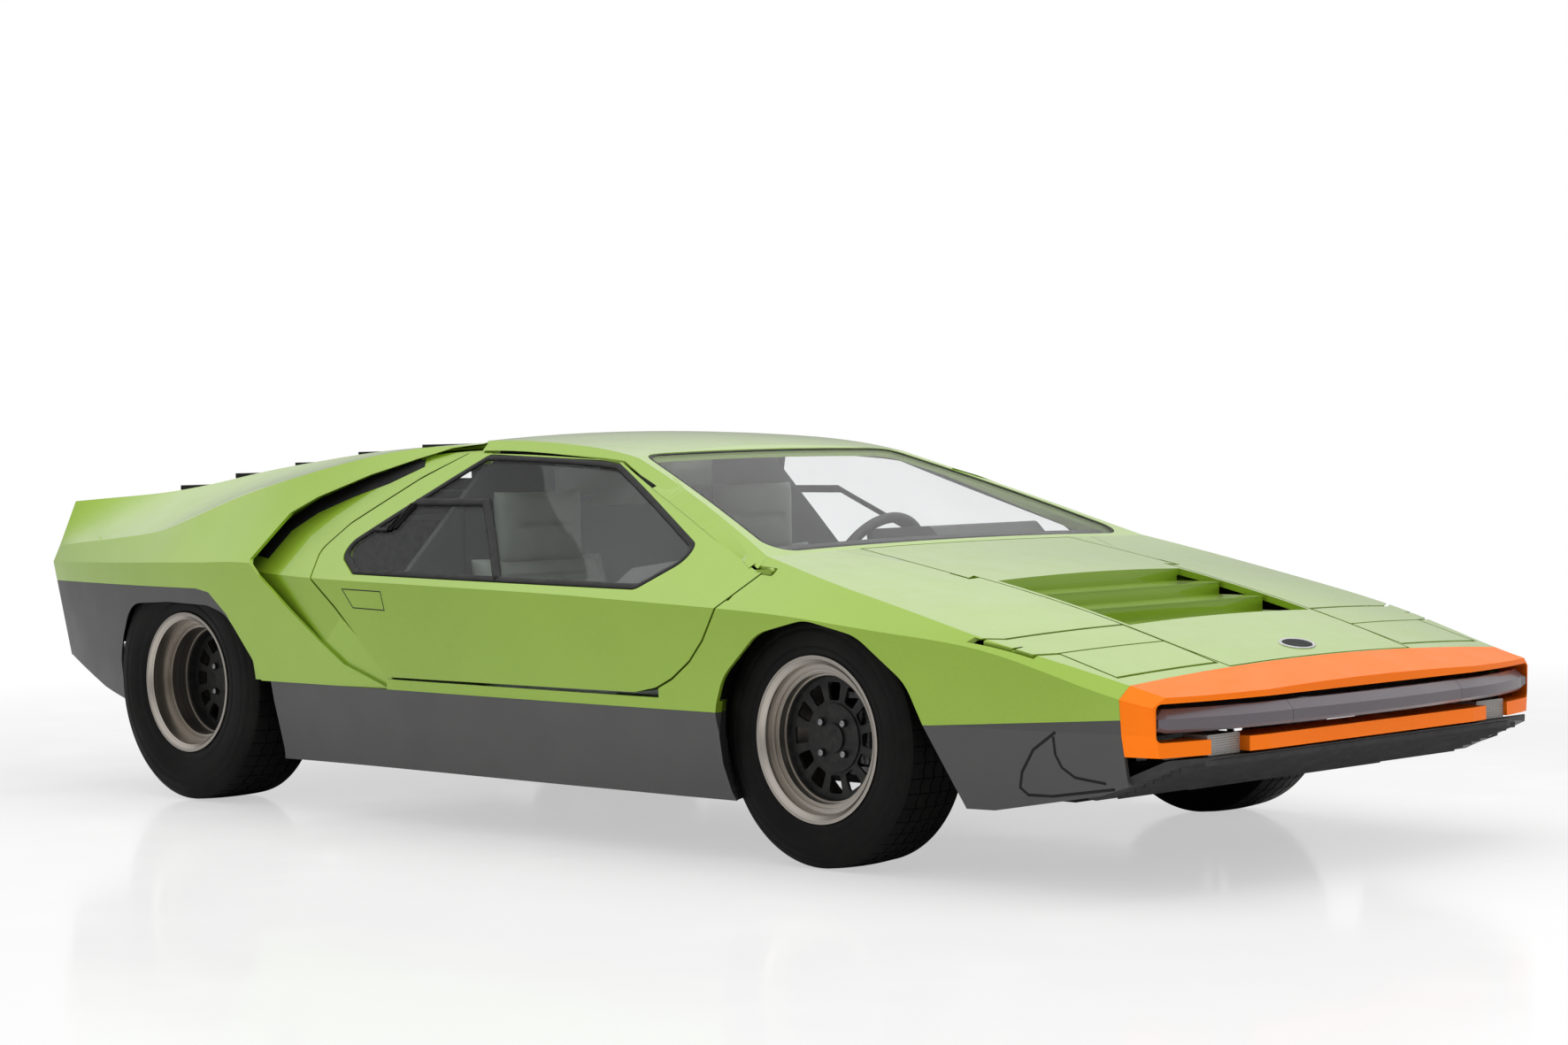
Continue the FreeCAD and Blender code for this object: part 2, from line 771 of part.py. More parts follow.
side_wall_shares = [(-0.600, 0.552), (-0.900, 0.552), (-0.900, 1.05), (-0.600, 1.05)]
side_wall_line = [(along(x), across(y)) for x, y in side_wall_shares]
rear_fender_full = rear_outer.cut(rear_body(skin + seat_gap))
save_pair("body_side", [make_body_side()])

save("tail_deck", [make_tail_deck()])


# Nose: orange surround round a black slot, with the bar and the lamps in it
nose_front_shares = [(0.4170, 0.000), (0.4140, 0.360), (0.4060, 0.560), (0.3890, 0.765), (0.3800, 0.830)]
slot_half = across(0.776)
slot_low_z = up(0.335)
slot_high_z = up(0.417)
surround_foot_z = up(0.303)
lamp_inner_y = across(0.497)
lamp_outer_y = across(0.620)
lamp_low_z = up(0.298)
lamp_high_z = up(0.343)
slot_corner = 14.0


def nose_plan(inset, z_low, z_high, rear_x):
    """The nose seen from above, rounded at the front, drawn in by an inset."""
    places = [V(along(x) - inset, across(y), z_low) for x, y in nose_front_shares]
    left = places[-1]
    curve = Part.BSplineCurve()
    curve.interpolate([V(p.x, -p.y, p.z) for p in reversed(places[1:])] + places)
    front = curve.toShape()
    right_rear = V(rear_x, -half_width, z_low)
    left_rear = V(rear_x, half_width, z_low)
    right = V(left.x, -half_width, z_low)
    outer_left = V(left.x, half_width, z_low)
    edges = [
        front,
        Part.LineSegment(left, outer_left).toShape(),
        Part.LineSegment(outer_left, left_rear).toShape(),
        Part.LineSegment(left_rear, right_rear).toShape(),
        Part.LineSegment(right_rear, right).toShape(),
        Part.LineSegment(right, V(left.x, -left.y, z_low)).toShape(),
    ]
    return Part.Face(Part.Wire(edges)).extrude(V(0, 0, z_high - z_low))


def slot_block(grow, x_low, x_high):
    half = slot_half + grow
    low = slot_low_z - grow
    high = slot_high_z + grow
    corners = [(-half, low), (half, low), (half, high), (-half, high)]
    return front_prism(corners, x_low, x_high, slot_corner)


bar_low_z = up(0.354)
bar_edge_z = up(0.384)
bar_high_z = up(0.404)
bar_depth = 34.0
bar_lip = 7.0
bar_tip_length = 33.0
slot_side_gap = 7.0
bar_tip_x = along(0.3880)
bar_tip_y = slot_half - slot_side_gap
bar_end_x = along(0.3900)
bar_end_y = slot_half - bar_tip_length
bar_split_y = across(0.355)
bar_split_x = along(0.4175)
bar_centre_x = along(0.4235)
bar_bend_x = along(0.4060)
bar_bend_y = across(0.600)
bar_joint_gap = 1.2


def bar_section(x, y):
    return [
        V(x, y, bar_low_z + bar_lip),
        V(x, y, bar_edge_z),
        V(x - bar_depth / 2, y, bar_high_z),
        V(x - bar_depth, y, bar_high_z),
        V(x - bar_depth, y, bar_low_z),
        V(x - bar_lip, y, bar_low_z),
    ]


def closed(section):
    return Part.makePolygon(section + [section[0]])


def bar_cap():
    """The shaved tip of the bar."""
    tip_back = bar_tip_x - 2 * bar_lip
    tip = [
        V(bar_tip_x, bar_tip_y, bar_low_z + 2 * bar_lip),
        V(bar_tip_x, bar_tip_y, bar_edge_z),
        V(bar_tip_x - bar_lip, bar_tip_y, bar_edge_z + bar_lip / 2),
        V(tip_back, bar_tip_y, bar_edge_z + bar_lip / 2),
        V(tip_back, bar_tip_y, bar_low_z + bar_lip),
        V(bar_tip_x - bar_lip, bar_tip_y, bar_low_z + bar_lip),
    ]
    return Part.makeLoft([closed(bar_section(bar_end_x, bar_end_y)), closed(tip)], True, True)


def make_bumper_bar():
    """Three pieces: a middle bar and two swept ends, with shaved tips."""
    split = bar_split_y - bar_joint_gap / 2
    places = [(bar_split_x, -split), (bar_centre_x, 0), (bar_split_x, split)]
    middle = [bar_section(x, y) for x, y in places]
    end = [
        bar_section(bar_split_x, bar_split_y + bar_joint_gap / 2),
        bar_section(bar_bend_x, bar_bend_y),
        bar_section(bar_end_x, bar_end_y),
    ]
    swept = Part.makeLoft([closed(section) for section in end], True, False).fuse(bar_cap())
    stay_y = bar_split_y / 2
    stay = block(slot_back_x, bar_split_x - bar_depth / 2, stay_y, stay_y + 2 * bar_lip, bar_low_z + bar_lip,
                 bar_edge_z)
    outer_stay = block(slot_back_x, bar_bend_x - bar_depth / 2, across(0.560), across(0.560) + 2 * bar_lip,
                       bar_low_z + bar_lip, bar_edge_z)
    bar = Part.makeLoft([closed(section) for section in middle], True, False).fuse(on_both_sides(stay))
    return [bar] + on_both_sides(swept.fuse(outer_stay))


surround_wall = 22.0
slot_back_x = nose_rear_x - 26.0


def make_nose_surround():
    plan = nose_plan(0, surround_foot_z, height, nose_rear_x + seat_gap)
    body = nose_outer.common(plan)
    hollow = slot_block(0, nose_rear_x - overrun, along(0.43))
    shell = body.cut(hollow)
    lamp_room = block(along(0.3700), along(0.43), lamp_inner_y - seat_gap, lamp_outer_y + seat_gap,
                      surround_foot_z - overrun, lamp_high_z + seat_gap)
    core = front_prism(
        [
            (-slot_half, slot_low_z - surround_wall / 2),
            (slot_half, slot_low_z - surround_wall / 2),
            (slot_half, slot_high_z + surround_wall / 2),
            (-slot_half, slot_high_z + surround_wall / 2),
        ],
        nose_rear_x - overrun,
        nose_rear_x + overrun,
    )
    core_top = lowered(under_bonnet, skin)
    return shell.cut([lamp_room, mirrored(lamp_room), core.common(core_top)])


def make_front_lamps():
    """Clear block lamps under the bar, sitting in notches of the surround."""
    lamps = []
    lamp = front_prism(
        [
            (lamp_inner_y, lamp_low_z),
            (lamp_outer_y, lamp_low_z),
            (lamp_outer_y, lamp_high_z),
            (lamp_inner_y, lamp_high_z),
        ],
        along(0.3700) + seat_gap,
        along(0.3980),
        slot_corner / 3,
    )
    lamps += on_both_sides(lamp)
    return lamps


save("nose_surround", [make_nose_surround()])
save("bumper_bar", make_bumper_bar())
save("front_lamps", make_front_lamps())


# Grey lower body
def make_side_sill():
    length = block(along(-0.8340), along(-0.0900), 0, half_width + overrun, 0, grey_z - seat_gap)
    sill = outer_tent.cut(sill_tent).common(length)
    return carved(sill.cut([front_arch, rear_arch]), front_room + rear_room)


valance_foot_shares = [
    (0.0900, 0.000),
    (0.0900, 0.166),
    (0.2100, 0.168),
    (0.3250, 0.215),
    (0.4300, 0.300),
    (0.4300, 0.000),
]
rib_wall = 9.0
rib_count = 9


def make_front_valance():
    side = nose_outer.cut(skin_tent).common(side_prism(side_points(valance_shares), 0, half_width + overrun))
    side = side.common(block(0, nose_rear_x - seat_gap, across(0.60), half_width, 0, height))
    foot = side_prism(side_points(valance_foot_shares), 0, half_width + overrun)
    return carved(side.cut([front_arch, foot]), front_room)


def make_front_grille():
    """Ribbed black panel under the nose, with the tray behind it."""
    nose = nose_plan(0, 0, height, 0)
    chin_profile = side_points([
        (0.4080, 0.2970),
        (0.3920, 0.2970),
        (0.3100, 0.2150),
        (0.3080, 0.2050),
        (0.3160, 0.2030),
    ])
    chin = side_prism(chin_profile, -half_width, half_width).common(skin_tent).common(nose)
    ribs = []
    for index in range(rib_count):
        share = (index + 0.5) / rib_count
        x = along(0.4060) + share * (along(0.3140) - along(0.4060))
        z = up(0.2920) + share * (up(0.2060) - up(0.2920))
        rib = block(x, x + rib_wall / 3, -across(0.70), across(0.70), z - rib_wall, z + rib_wall / 3)
        ribs.append(rib.common(nose))
    tray = block(along(0.1500), along(0.3100), -across(0.40), across(0.40), up(0.195), up(0.205))
    return chin.fuse(ribs + [tray])


tail_foot_shares = [
    (-0.850, 0.000),
    (-0.850, 0.594),
    (-0.960, 0.594),
    (-1.400, 0.594),
    (-1.400, 0.430),
    (-1.290, 0.370),
    (-1.150, 0.255),
    (-1.100, 0.000),
]


def make_rear_valance():
    shell = rear_outer.cut(rear_inner)
    outline = side_points(tail_foot_shares)
    side = shell.common(side_prism(outline, across(0.55), half_width + overrun))
    side = side.common(block(tail_x, along(-0.85), 0, half_width + overrun, 0, tail_grey_z - seat_gap))
    fender_edge = side_prism(
        [
            (along(-0.84), 0),
            (along(-0.84), grey_z),
            (along(-0.8936), up(0.525)),
            (along(-0.925), tail_grey_z - skin),
            (along(-0.950), tail_grey_z),
            (along(-0.84), tail_grey_z + overrun),
            (along(-0.80), 0),
        ],
        0,
        half_width + overrun,
    )
    side = side.cut([rear_arch, fender_edge] + rear_room)
    under = side_prism(
        side_points([
            (-1.2950, 0.395),
            (-1.2900, 0.370),
            (-1.1500, 0.255),
            (-1.1450, 0.262),
            (-1.1500, 0.280),
        ]),
        -half_width,
        half_width,
    )
    under = under.common(rear_inner)
    return [side, mirrored(side), under]


save("side_sills", on_both_sides(make_side_sill()))
save("front_valance", on_both_sides(make_front_valance()))
save("front_grille", [make_front_grille()])
save("rear_valance", make_rear_valance())


# Hinges of the lids: a bored lug on the lid, a fixed pin through it, and a bracket on each side
bracket_half = 3.0
bracket_reach = 17.0
bracket_start = 11.0
lug_room = 10.4


def bored(shape, x, z):
    return shape.cut(tube_y(x, z, -half_width, half_width, pin_radius + running_fit))


def lug_rooms(x, z, places):
    """Space in a lid on both sides of its lugs for the fixed pins and brackets."""
    rooms = []
    for y in places:
        rooms.append(tube_y(x, z, y + ear_width / 2, y + bracket_reach + shut_gap, lug_room))
        rooms.append(tube_y(x, z, y - bracket_reach - shut_gap, y - ear_width / 2, lug_room))
    return rooms


def lugs(x, z, places):
    return [tube_y(x, z, y - ear_width / 2, y + ear_width / 2, ear_radius) for y in places]


def bar_between(start, end, y_low, y_high, half):
    """A flat bar seen from the side, from one (x, z) place to another, with round ends."""
    run = end[0] - start[0]
    rise = end[1] - start[1]
    size = math.hypot(run, rise)
    side = (-rise / size * half, run / size * half)
    outline = [
        (start[0] + side[0], start[1] + side[1]),
        (start[0] - side[0], start[1] - side[1]),
        (end[0] - side[0], end[1] - side[1]),
        (end[0] + side[0], end[1] + side[1]),
    ]
    ends = [tube_y(x, z, y_low, y_high, half) for x, z in (start, end)]
    return side_prism(outline, y_low, y_high).fuse(ends)


def brackets(x, z, knee, foot, places):
    """Bent bars that stand beside each lug and carry its pin."""
    bars = []
    for y in places:
        bars.append(tube_y(x, z, y - bracket_reach, y + bracket_reach, pin_radius))
        for low in (y + bracket_start, y - bracket_reach):
            high = low + bracket_reach - bracket_start
            bars.append(bar_between((x, z), knee, low, high, bracket_half))
            bars.append(bar_between(knee, foot, low, high, bracket_half))
    return bars


# Bonnet with three stepped slats, hinged at its front edge
step_count = 3
step_front_x = along(0.2336)
step_rear_x = along(0.0690)
step_half = across(0.362)
step_plate = 3.0
step_sink = 7.0
step_end_gap = 9.0
bonnet_lug_places = (-across(0.300), across(0.300))
bonnet_hinge_x = bonnet_outline[0][0] - lid_hinge_inset
bonnet_hinge_z = bonnet_surface_z(bonnet_hinge_x) - up(0.0037) - lid_hinge_depth


def make_bonnet():
    lid = lid_shell.common(plan_prism(bonnet_outline, lid_floor_z, lid_top_z))
    opening_half = step_half + step_end_gap
    lid = lid.cut(block(step_rear_x, step_front_x, -opening_half, opening_half, 0, height))
    slats = []
    pitch = (step_front_x - step_rear_x) / step_count
    for index in range(step_count):
        front = step_front_x - index * pitch
        rear = front - pitch
        tread = bonnet_surface_z(front) - step_sink
        riser = bonnet_surface_z(rear) - step_sink
        slat = [
            (front + step_plate / 2, tread),
            (front + step_plate / 2, tread - step_plate),
            (rear - step_plate, tread - step_plate),
            (rear - step_plate, riser),
            (rear, riser),
            (rear, tread),
        ]
        slats.append(side_prism(slat, -step_half, step_half))
    lid = lid.fuse(slats)
    lid = lid.cut(lug_rooms(bonnet_hinge_x, bonnet_hinge_z, bonnet_lug_places))
    lid = lid.fuse(lugs(bonnet_hinge_x, bonnet_hinge_z, bonnet_lug_places))
    return bored(lid, bonnet_hinge_x, bonnet_hinge_z)


save("bonnet", [make_bonnet()])


# Headlamp pods: two flaps and a lamp carrier on each side, hinged at the rear
flap_wall = 12.0
flap_shell = nose_outer.cut(crowned(bonnet_shares, flap_wall).common(tent(flap_wall, flap_wall)))
pod_lug_places = (across(0.455), across(0.590))
pod_hinge_inset = 15.0
pod_hinge_x = rear_flap_outline[0][0] + pod_hinge_inset
pod_hinge_z = bonnet_surface_z(pod_hinge_x) - up(0.0165) - lid_hinge_depth
carrier_arm_places = (across(0.520), across(0.660))
carrier_arm_width = 10.0
carrier_depth = 16.0
headlamp_places = (across(0.478), across(0.640))
headlamp_radius = 50.0
headlamp_depth = 52.0
headlamp_tilt = 35.0
headlamp_ahead = 158.0
headlamp_below = 92.0


def make_flap(outline):
    return flap_shell.common(plan_prism(outline, lid_floor_z, lid_top_z))


def make_rear_flap():
    flap = make_flap(rear_flap_outline)
    flap = flap.cut(lug_rooms(pod_hinge_x, pod_hinge_z, pod_lug_places))
    under = crowned(bonnet_shares, flap_wall / 2)
    for y in pod_lug_places:
        neck = block(pod_hinge_x - ear_radius, pod_hinge_x + ear_radius, y - ear_width / 2, y + ear_width / 2,
                     pod_hinge_z, height)
        flap = flap.fuse(neck.common(under))
    flap = flap.fuse(lugs(pod_hinge_x, pod_hinge_z, pod_lug_places))
    return bored(flap, pod_hinge_x, pod_hinge_z)


def make_carrier():
    """Arms under both flaps with two lamps that face ahead when the pod stands open."""
    under_flap = crowned(bonnet_shares, flap_wall + seat_gap)
    rail = under_flap.cut(crowned(bonnet_shares, flap_wall + carrier_depth))
    front_end = along(0.3200)
    parts = []
    for y in carrier_arm_places:
        zone = block(pod_hinge_x, front_end, y - carrier_arm_width / 2, y + carrier_arm_width / 2, 0, height)
        parts.append(rail.common(zone))
    facing = V(math.cos(math.radians(headlamp_tilt)), 0, -math.sin(math.radians(headlamp_tilt)))
    middle = V(pod_hinge_x + headlamp_ahead, 0, pod_hinge_z - headlamp_below)
    for y in headlamp_places:
        back = V(middle.x, y, middle.z) - facing * (headlamp_depth / 2)
        parts.append(Part.makeCone(headlamp_radius / 2, headlamp_radius, headlamp_depth * 0.7, back, facing))
        rim_start = back + facing * (headlamp_depth * 0.7)
        parts.append(Part.makeCylinder(headlamp_radius, headlamp_depth * 0.3, rim_start, facing))
    brace_y = (headlamp_places[0] + headlamp_places[1]) / 2
    low = brace_y - carrier_arm_width
    high = brace_y + carrier_arm_width
    brace_x = (middle.x - carrier_arm_width, middle.x + carrier_arm_width)
    parts.append(block(brace_x[0], brace_x[1], headlamp_places[0], headlamp_places[1], middle.z - carrier_arm_width,
                       middle.z + carrier_arm_width))
    for y in carrier_arm_places:
        parts.append(under_flap.common(block(brace_x[0], brace_x[1], y - carrier_arm_width / 2,
                                             y + carrier_arm_width / 2, middle.z, height)))
    return parts[0].multiFuse(parts[1:])


save_pair("headlamp_flap_front", [make_flap(front_flap_outline)])
save_pair("headlamp_flap_rear", [make_rear_flap()])
save_pair("headlamp_carrier", [make_carrier()])


# Front bay: tray behind the nose with hinge brackets, and the bulkhead under the windscreen
bay_wall = 4.0
bay_half = across(0.455)
bay_floor_z = up(0.285)
shelf_rear_x = along(0.190)
shelf_half = across(0.740)
shelf_z = up(0.335)
bulkhead_wall = 18.0
bulkhead_front_x = along(-0.1340)
bulkhead_rear_x = bulkhead_front_x - bulkhead_wall
floor_foot_z = up(0.143)
floor_top_z = up(0.161)


def make_front_bay():
    front_wall = block(slot_back_x - bay_wall, slot_back_x, -across(0.78), across(0.78), shelf_z, up(0.470))
    front_wall = front_wall.common(lowered(nose_outer, surround_wall))
    lid_half = bonnet_outline[0][1] + pod_gap
    sweep = tube_y(bonnet_hinge_x, bonnet_hinge_z, -lid_half, lid_half, lid_hinge_inset + bonnet_wall)
    front_wall = front_wall.cut(sweep)
    shelf = block(shelf_rear_x, slot_back_x, -shelf_half, shelf_half, shelf_z, shelf_z + bay_wall)
    floor = block(bulkhead_rear_x, shelf_rear_x + bay_wall, -bay_half, bay_half, bay_floor_z, bay_floor_z + bay_wall)
    step = block(shelf_rear_x, shelf_rear_x + bay_wall, -shelf_half, shelf_half, bay_floor_z, shelf_z + bay_wall)
    side = side_prism(
        [
            (bulkhead_rear_x, bay_floor_z),
            (shelf_rear_x, bay_floor_z),
            (shelf_rear_x, bonnet_surface_z(shelf_rear_x) - 3 * lid_hinge_inset),
            (bulkhead_rear_x, bonnet_surface_z(bulkhead_front_x) - 3 * lid_hinge_inset),
        ],
        bay_half - bay_wall,
        bay_half,
    )
    bulkhead = block(bulkhead_rear_x, bulkhead_front_x, -half_width, half_width, floor_top_z + seat_gap, height)
    bulkhead = bulkhead.common(tent(door_side_wall + pod_gap, door_bevel_wall + pod_gap))
    bulkhead = bulkhead.common(lowered(under_screen, frame_wall + seat_gap))
    parts = [shelf, floor, step, side, mirrored(side), bulkhead, front_wall]
    knee = (bonnet_hinge_x - 2 * ear_radius, bonnet_hinge_z - 3 * ear_radius)
    parts += brackets(bonnet_hinge_x, bonnet_hinge_z, knee, (knee[0], shelf_z), bonnet_lug_places)
    knee = (pod_hinge_x, pod_hinge_z - ear_radius)
    places = pod_lug_places + tuple(-y for y in pod_lug_places)
    parts += brackets(pod_hinge_x, pod_hinge_z, knee, (pod_hinge_x, shelf_z), places)
    bay = parts[0].multiFuse(parts[1:])
    return carved(bay, front_room + [mirrored(space) for space in front_room])


save("front_bay", [make_front_bay()])


# Rear deck: cover frame with stepped black louvres, hinged behind the roof
louvre_shares = [(-1.2468, 0.860), (-1.1302, 0.8955), (-1.0085, 0.926), (-0.8851, 0.955), (-0.7660, 0.9736)]
louvre_wall = 5.0
louvre_lip = 13.0
louvre_rail = 36.0
louvre_half = across(0.492)
cover_wall = 14.0
cover_lug_places = (-across(0.400), across(0.400))


def ridge_z(x):
    return up(looked_up(rear_shares, (x - front_axle_x) / wheelbase, 8))


cover_hinge_x = cover_front_x - lid_hinge_inset
cover_hinge_z = ridge_z(cover_hinge_x) - lid_hinge_depth
opening_front_x = cover_front_x - 2 * lid_hinge_inset
opening_rear_x = along(louvre_shares[0][0]) - 2 * louvre_wall


def make_engine_cover():
    shell = rear_outer.cut(rear_body(cover_wall))
    lid = shell.common(block(cover_rear_x, cover_front_x, -cover_half, cover_half, tail_grey_z, height))
    lid = lid.cut(block(opening_rear_x, opening_front_x, -louvre_half, louvre_half, 0, height + overrun))
    lid = lid.cut(lug_rooms(cover_hinge_x, cover_hinge_z, cover_lug_places))
    lid = lid.fuse(lugs(cover_hinge_x, cover_hinge_z, cover_lug_places))
    return bored(lid, cover_hinge_x, cover_hinge_z)


def make_engine_louvres():
    """Level slats in steps down to the tail, carried by rails."""
    half = louvre_half - seat_gap
    parts = []
    rail_places = (-half, -louvre_wall / 2, half - louvre_wall)
    for index in range(len(louvre_shares)):
        rear = along(louvre_shares[index][0])
        top = up(louvre_shares[index][1])
        if index + 1 < len(louvre_shares):
            front = along(louvre_shares[index + 1][0]) + 3 * louvre_wall
        else:
            front = opening_front_x - seat_gap
        profile = [
            (rear, top),
            (rear, top - louvre_lip),
            (rear + louvre_wall, top - louvre_lip),
            (rear + louvre_wall, top - louvre_wall),
            (front, top - louvre_wall),
            (front, top),
        ]
        parts.append(side_prism(profile, -half, half))
        rail = [
            (rear + louvre_wall / 2, top - louvre_wall / 2),
            (rear + louvre_wall / 2, top - louvre_rail),
            (front, top - louvre_rail),
            (front, top - louvre_wall / 2),
        ]
        parts += [side_prism(rail, y, y + louvre_wall) for y in rail_places]
    tail = block(opening_rear_x + seat_gap, along(louvre_shares[0][0]) + louvre_wall, -half, half,
                 up(louvre_shares[0][1]) - louvre_rail, up(louvre_shares[0][1]) - louvre_rail + louvre_wall)
    parts.append(tail)
    return parts[0].multiFuse(parts[1:])


save("engine_cover", [make_engine_cover()])
save("engine_louvres", [make_engine_louvres()])


# Cabin: bulkhead behind the seats with a small window, floor, dashboard and seats
cabin_gap = door_side_wall + pod_gap
rear_wall_front_x = roof_rear_x + 5 * louvre_wall
rear_wall_x = roof_rear_x + lid_end_gap
rear_window_half = across(0.330)
rear_window_low_z = up(0.800)
rear_window_high_z = up(0.925)
rear_window_corner = 20.0


def rear_window_outline(margin):
    half = rear_window_half - margin
    low = rear_window_low_z + margin
    high = rear_window_high_z - margin
    return [(-half, low), (half, low), (half, high), (-half, high)]


def make_rear_bulkhead():
    wall = block(rear_wall_x, rear_wall_front_x, -half_width, half_width, floor_top_z + seat_gap, height)
    wall = wall.common(tent(cabin_gap, door_bevel_wall + pod_gap)).common(lowered(under_roof, frame_wall + seat_gap))
    window = front_prism(rear_window_outline(0), rear_wall_x - skin, rear_wall_front_x + skin, rear_window_corner)
    wall = wall.cut(window)
    knee = (cover_hinge_x, cover_hinge_z - 3 * ear_radius)
    foot = (rear_wall_x + louvre_wall, cover_hinge_z - 5 * ear_radius)
    return wall.fuse(brackets(cover_hinge_x, cover_hinge_z, knee, foot, cover_lug_places))


def make_rear_window():
    middle = (rear_wall_x + rear_wall_front_x) / 2
    return front_prism(rear_window_outline(seat_gap), middle - glass_wall / 2, middle + glass_wall / 2,
                       rear_window_corner)


save("rear_bulkhead", [make_rear_bulkhead()])
save("rear_window", [make_rear_window()])

front_floor_half = across(0.390)
rear_floor_half = across(0.560)
floor_ends = (along(0.1700), along(-0.1800), along(-0.8200), along(-1.1300))
jack_places = (along(-0.2600), along(-0.7200))
jack_y = across(0.620)
jack_half = 30.0
jack_depth = 8.0
tunnel_half = across(0.150)
tunnel_high_z = up(0.370)
tunnel_front_x = bulkhead_rear_x - seat_gap
engine_front_x = rear_wall_x - 3 * overrun
engine_rear_x = along(-1.0300)
engine_half = across(0.310)
engine_foot_z = floor_top_z + seat_gap
engine_high_z = up(0.760)


def make_floor_pan():
    front, middle_front, middle_rear, rear = floor_ends
    middle = block(middle_rear, middle_front, -half_width, half_width, floor_foot_z, floor_top_z)
    middle = middle.common(tent(door_side_wall + seat_gap, door_side_wall))
    parts = [
        block(middle_front - overrun, front, -front_floor_half, front_floor_half, floor_foot_z, floor_top_z),
        block(rear, middle_rear + overrun, -rear_floor_half, rear_floor_half, floor_foot_z, floor_top_z),
    ]
    tunnel = front_prism(
        [
            (-tunnel_half, floor_foot_z),
            (tunnel_half, floor_foot_z),
            (tunnel_half * 0.8, tunnel_high_z),
            (-tunnel_half * 0.8, tunnel_high_z),
        ],
        rear_wall_front_x + seat_gap,
        tunnel_front_x,
    )
    for x in jack_places:
        pad = block(x - jack_half, x + jack_half, jack_y - jack_half, jack_y + jack_half,
                    floor_foot_z - jack_depth, floor_top_z)
        parts += on_both_sides(pad)
    pan = middle.fuse(parts + [tunnel])
    rooms = front_room + rear_room
    return carved(pan, rooms + [mirrored(space) for space in rooms])


save("floor_pan", [make_floor_pan()])
engine = block(engine_rear_x, engine_front_x, -engine_half, engine_half, engine_foot_z, engine_high_z)
save("engine_block", [engine])

dash_half = across(0.855)
wheel_hub_y = across(0.400)
wheel_hub_x = along(-0.3750)
wheel_hub_z = up(0.605)
column_slope = math.radians(column_angle)
column_way = V(math.cos(column_slope), 0, -math.sin(column_slope))
column_radius = 20.0
column_spigot_radius = 8.0
hub_height = 34.0
hub_boss_radius = 24.0
wheel_centre = V(wheel_hub_x, wheel_hub_y, wheel_hub_z)


def make_dashboard():
    """Low shelf under the windscreen with a hood over the driver's instruments."""
    x_front = bulkhead_rear_x - seat_gap
    shelf_profile = [
        (x_front, up(0.560)),
        (x_front, up(0.685)),
        (along(-0.2300), up(0.690)),
        (along(-0.2800), up(0.672)),
        (along(-0.2900), up(0.600)),
        (along(-0.2500), up(0.470)),
        (along(-0.2300), up(0.480)),
    ]
    shelf = side_prism(shelf_profile, -dash_half, dash_half)
    hood = side_prism(
        [
            (along(-0.1800), up(0.680)),
            (along(-0.2100), up(0.745)),
            (along(-0.3000), up(0.735)),
            (along(-0.2900), up(0.640)),
        ],
        wheel_hub_y - across(0.230),
        wheel_hub_y + across(0.230),
        screen_corner / 3,
    )
    dash = shelf.fuse(hood)
    dash = dash.common(tent(cabin_gap, cabin_gap / 2)).common(lowered(under_screen, frame_wall + seat_gap))
    lower = block(along(-0.2300), x_front, -tunnel_half, tunnel_half, tunnel_high_z + seat_gap, up(0.600))
    column_hole = rod(wheel_centre, wheel_centre + column_way * (2 * wheelbase / 3), column_radius + seat_gap)
    return dash.fuse(lower).cut(column_hole)


def make_steering_column():
    start = wheel_centre + column_way * hub_height
    reach = (wheel_hub_x - bulkhead_rear_x) / column_way.x
    end = wheel_centre + column_way * (-reach + column_radius * 2)
    column = rod(start + column_way * pod_gap, end, column_radius)
    column = column.common(block(-wheelbase, bulkhead_rear_x - seat_gap, 0, half_width, 0, height))
    spigot = rod(wheel_centre + column_way * pod_gap, start + column_way * (2 * pod_gap), column_spigot_radius)
    return column.fuse(spigot)


def make_steering_wheel():
    ring = Part.makeTorus(steering_wheel_radius - steering_grip_radius, steering_grip_radius)
    spokes = []
    reach = steering_wheel_radius - steering_grip_radius
    for turn in (90, 210, 330):
        spoke = Part.makeBox(reach, hub_boss_radius, louvre_wall, V(0, -hub_boss_radius / 2, -louvre_wall / 2))
        spoke.rotate(V(0, 0, 0), V(0, 0, 1), turn)
        spokes.append(spoke)
    hub = Part.makeCylinder(hub_boss_radius, hub_height + steering_grip_radius, V(0, 0, -steering_grip_radius))
    wheel = ring.fuse(spokes + [hub])
    wheel = wheel.cut(Part.makeCylinder(column_spigot_radius + running_fit, hub_height, V(0, 0, pin_radius)))
    wheel.rotate(V(0, 0, 0), V(0, 1, 0), 90 + column_angle)
    wheel.translate(wheel_centre)
    return wheel


save("dashboard", [make_dashboard()])
save("steering_column", [make_steering_column()])
save("steering_wheel", [make_steering_wheel()])

seat_y = across(0.440)
seat_half = across(0.255)
seat_corner = 30.0
seat_shares = [
    (-0.4100, 0.180),
    (-0.4050, 0.315),
    (-0.4250, 0.345),
    (-0.5450, 0.300),
    (-0.5700, 0.480),
    (-0.5880, 0.700),
    (-0.5830, 0.830),
    (-0.5960, 0.850),
    (-0.6040, 0.800),
    (-0.6050, 0.162),
    (-0.4300, 0.162),
]


def make_seat():
    seat = side_prism(side_points(seat_shares), seat_y - seat_half, seat_y + seat_half, seat_corner)
    return seat.cut(block(-wheelbase, wheelbase, 0, half_width, 0, floor_top_z + seat_gap))


save("seats", on_both_sides(make_seat()))


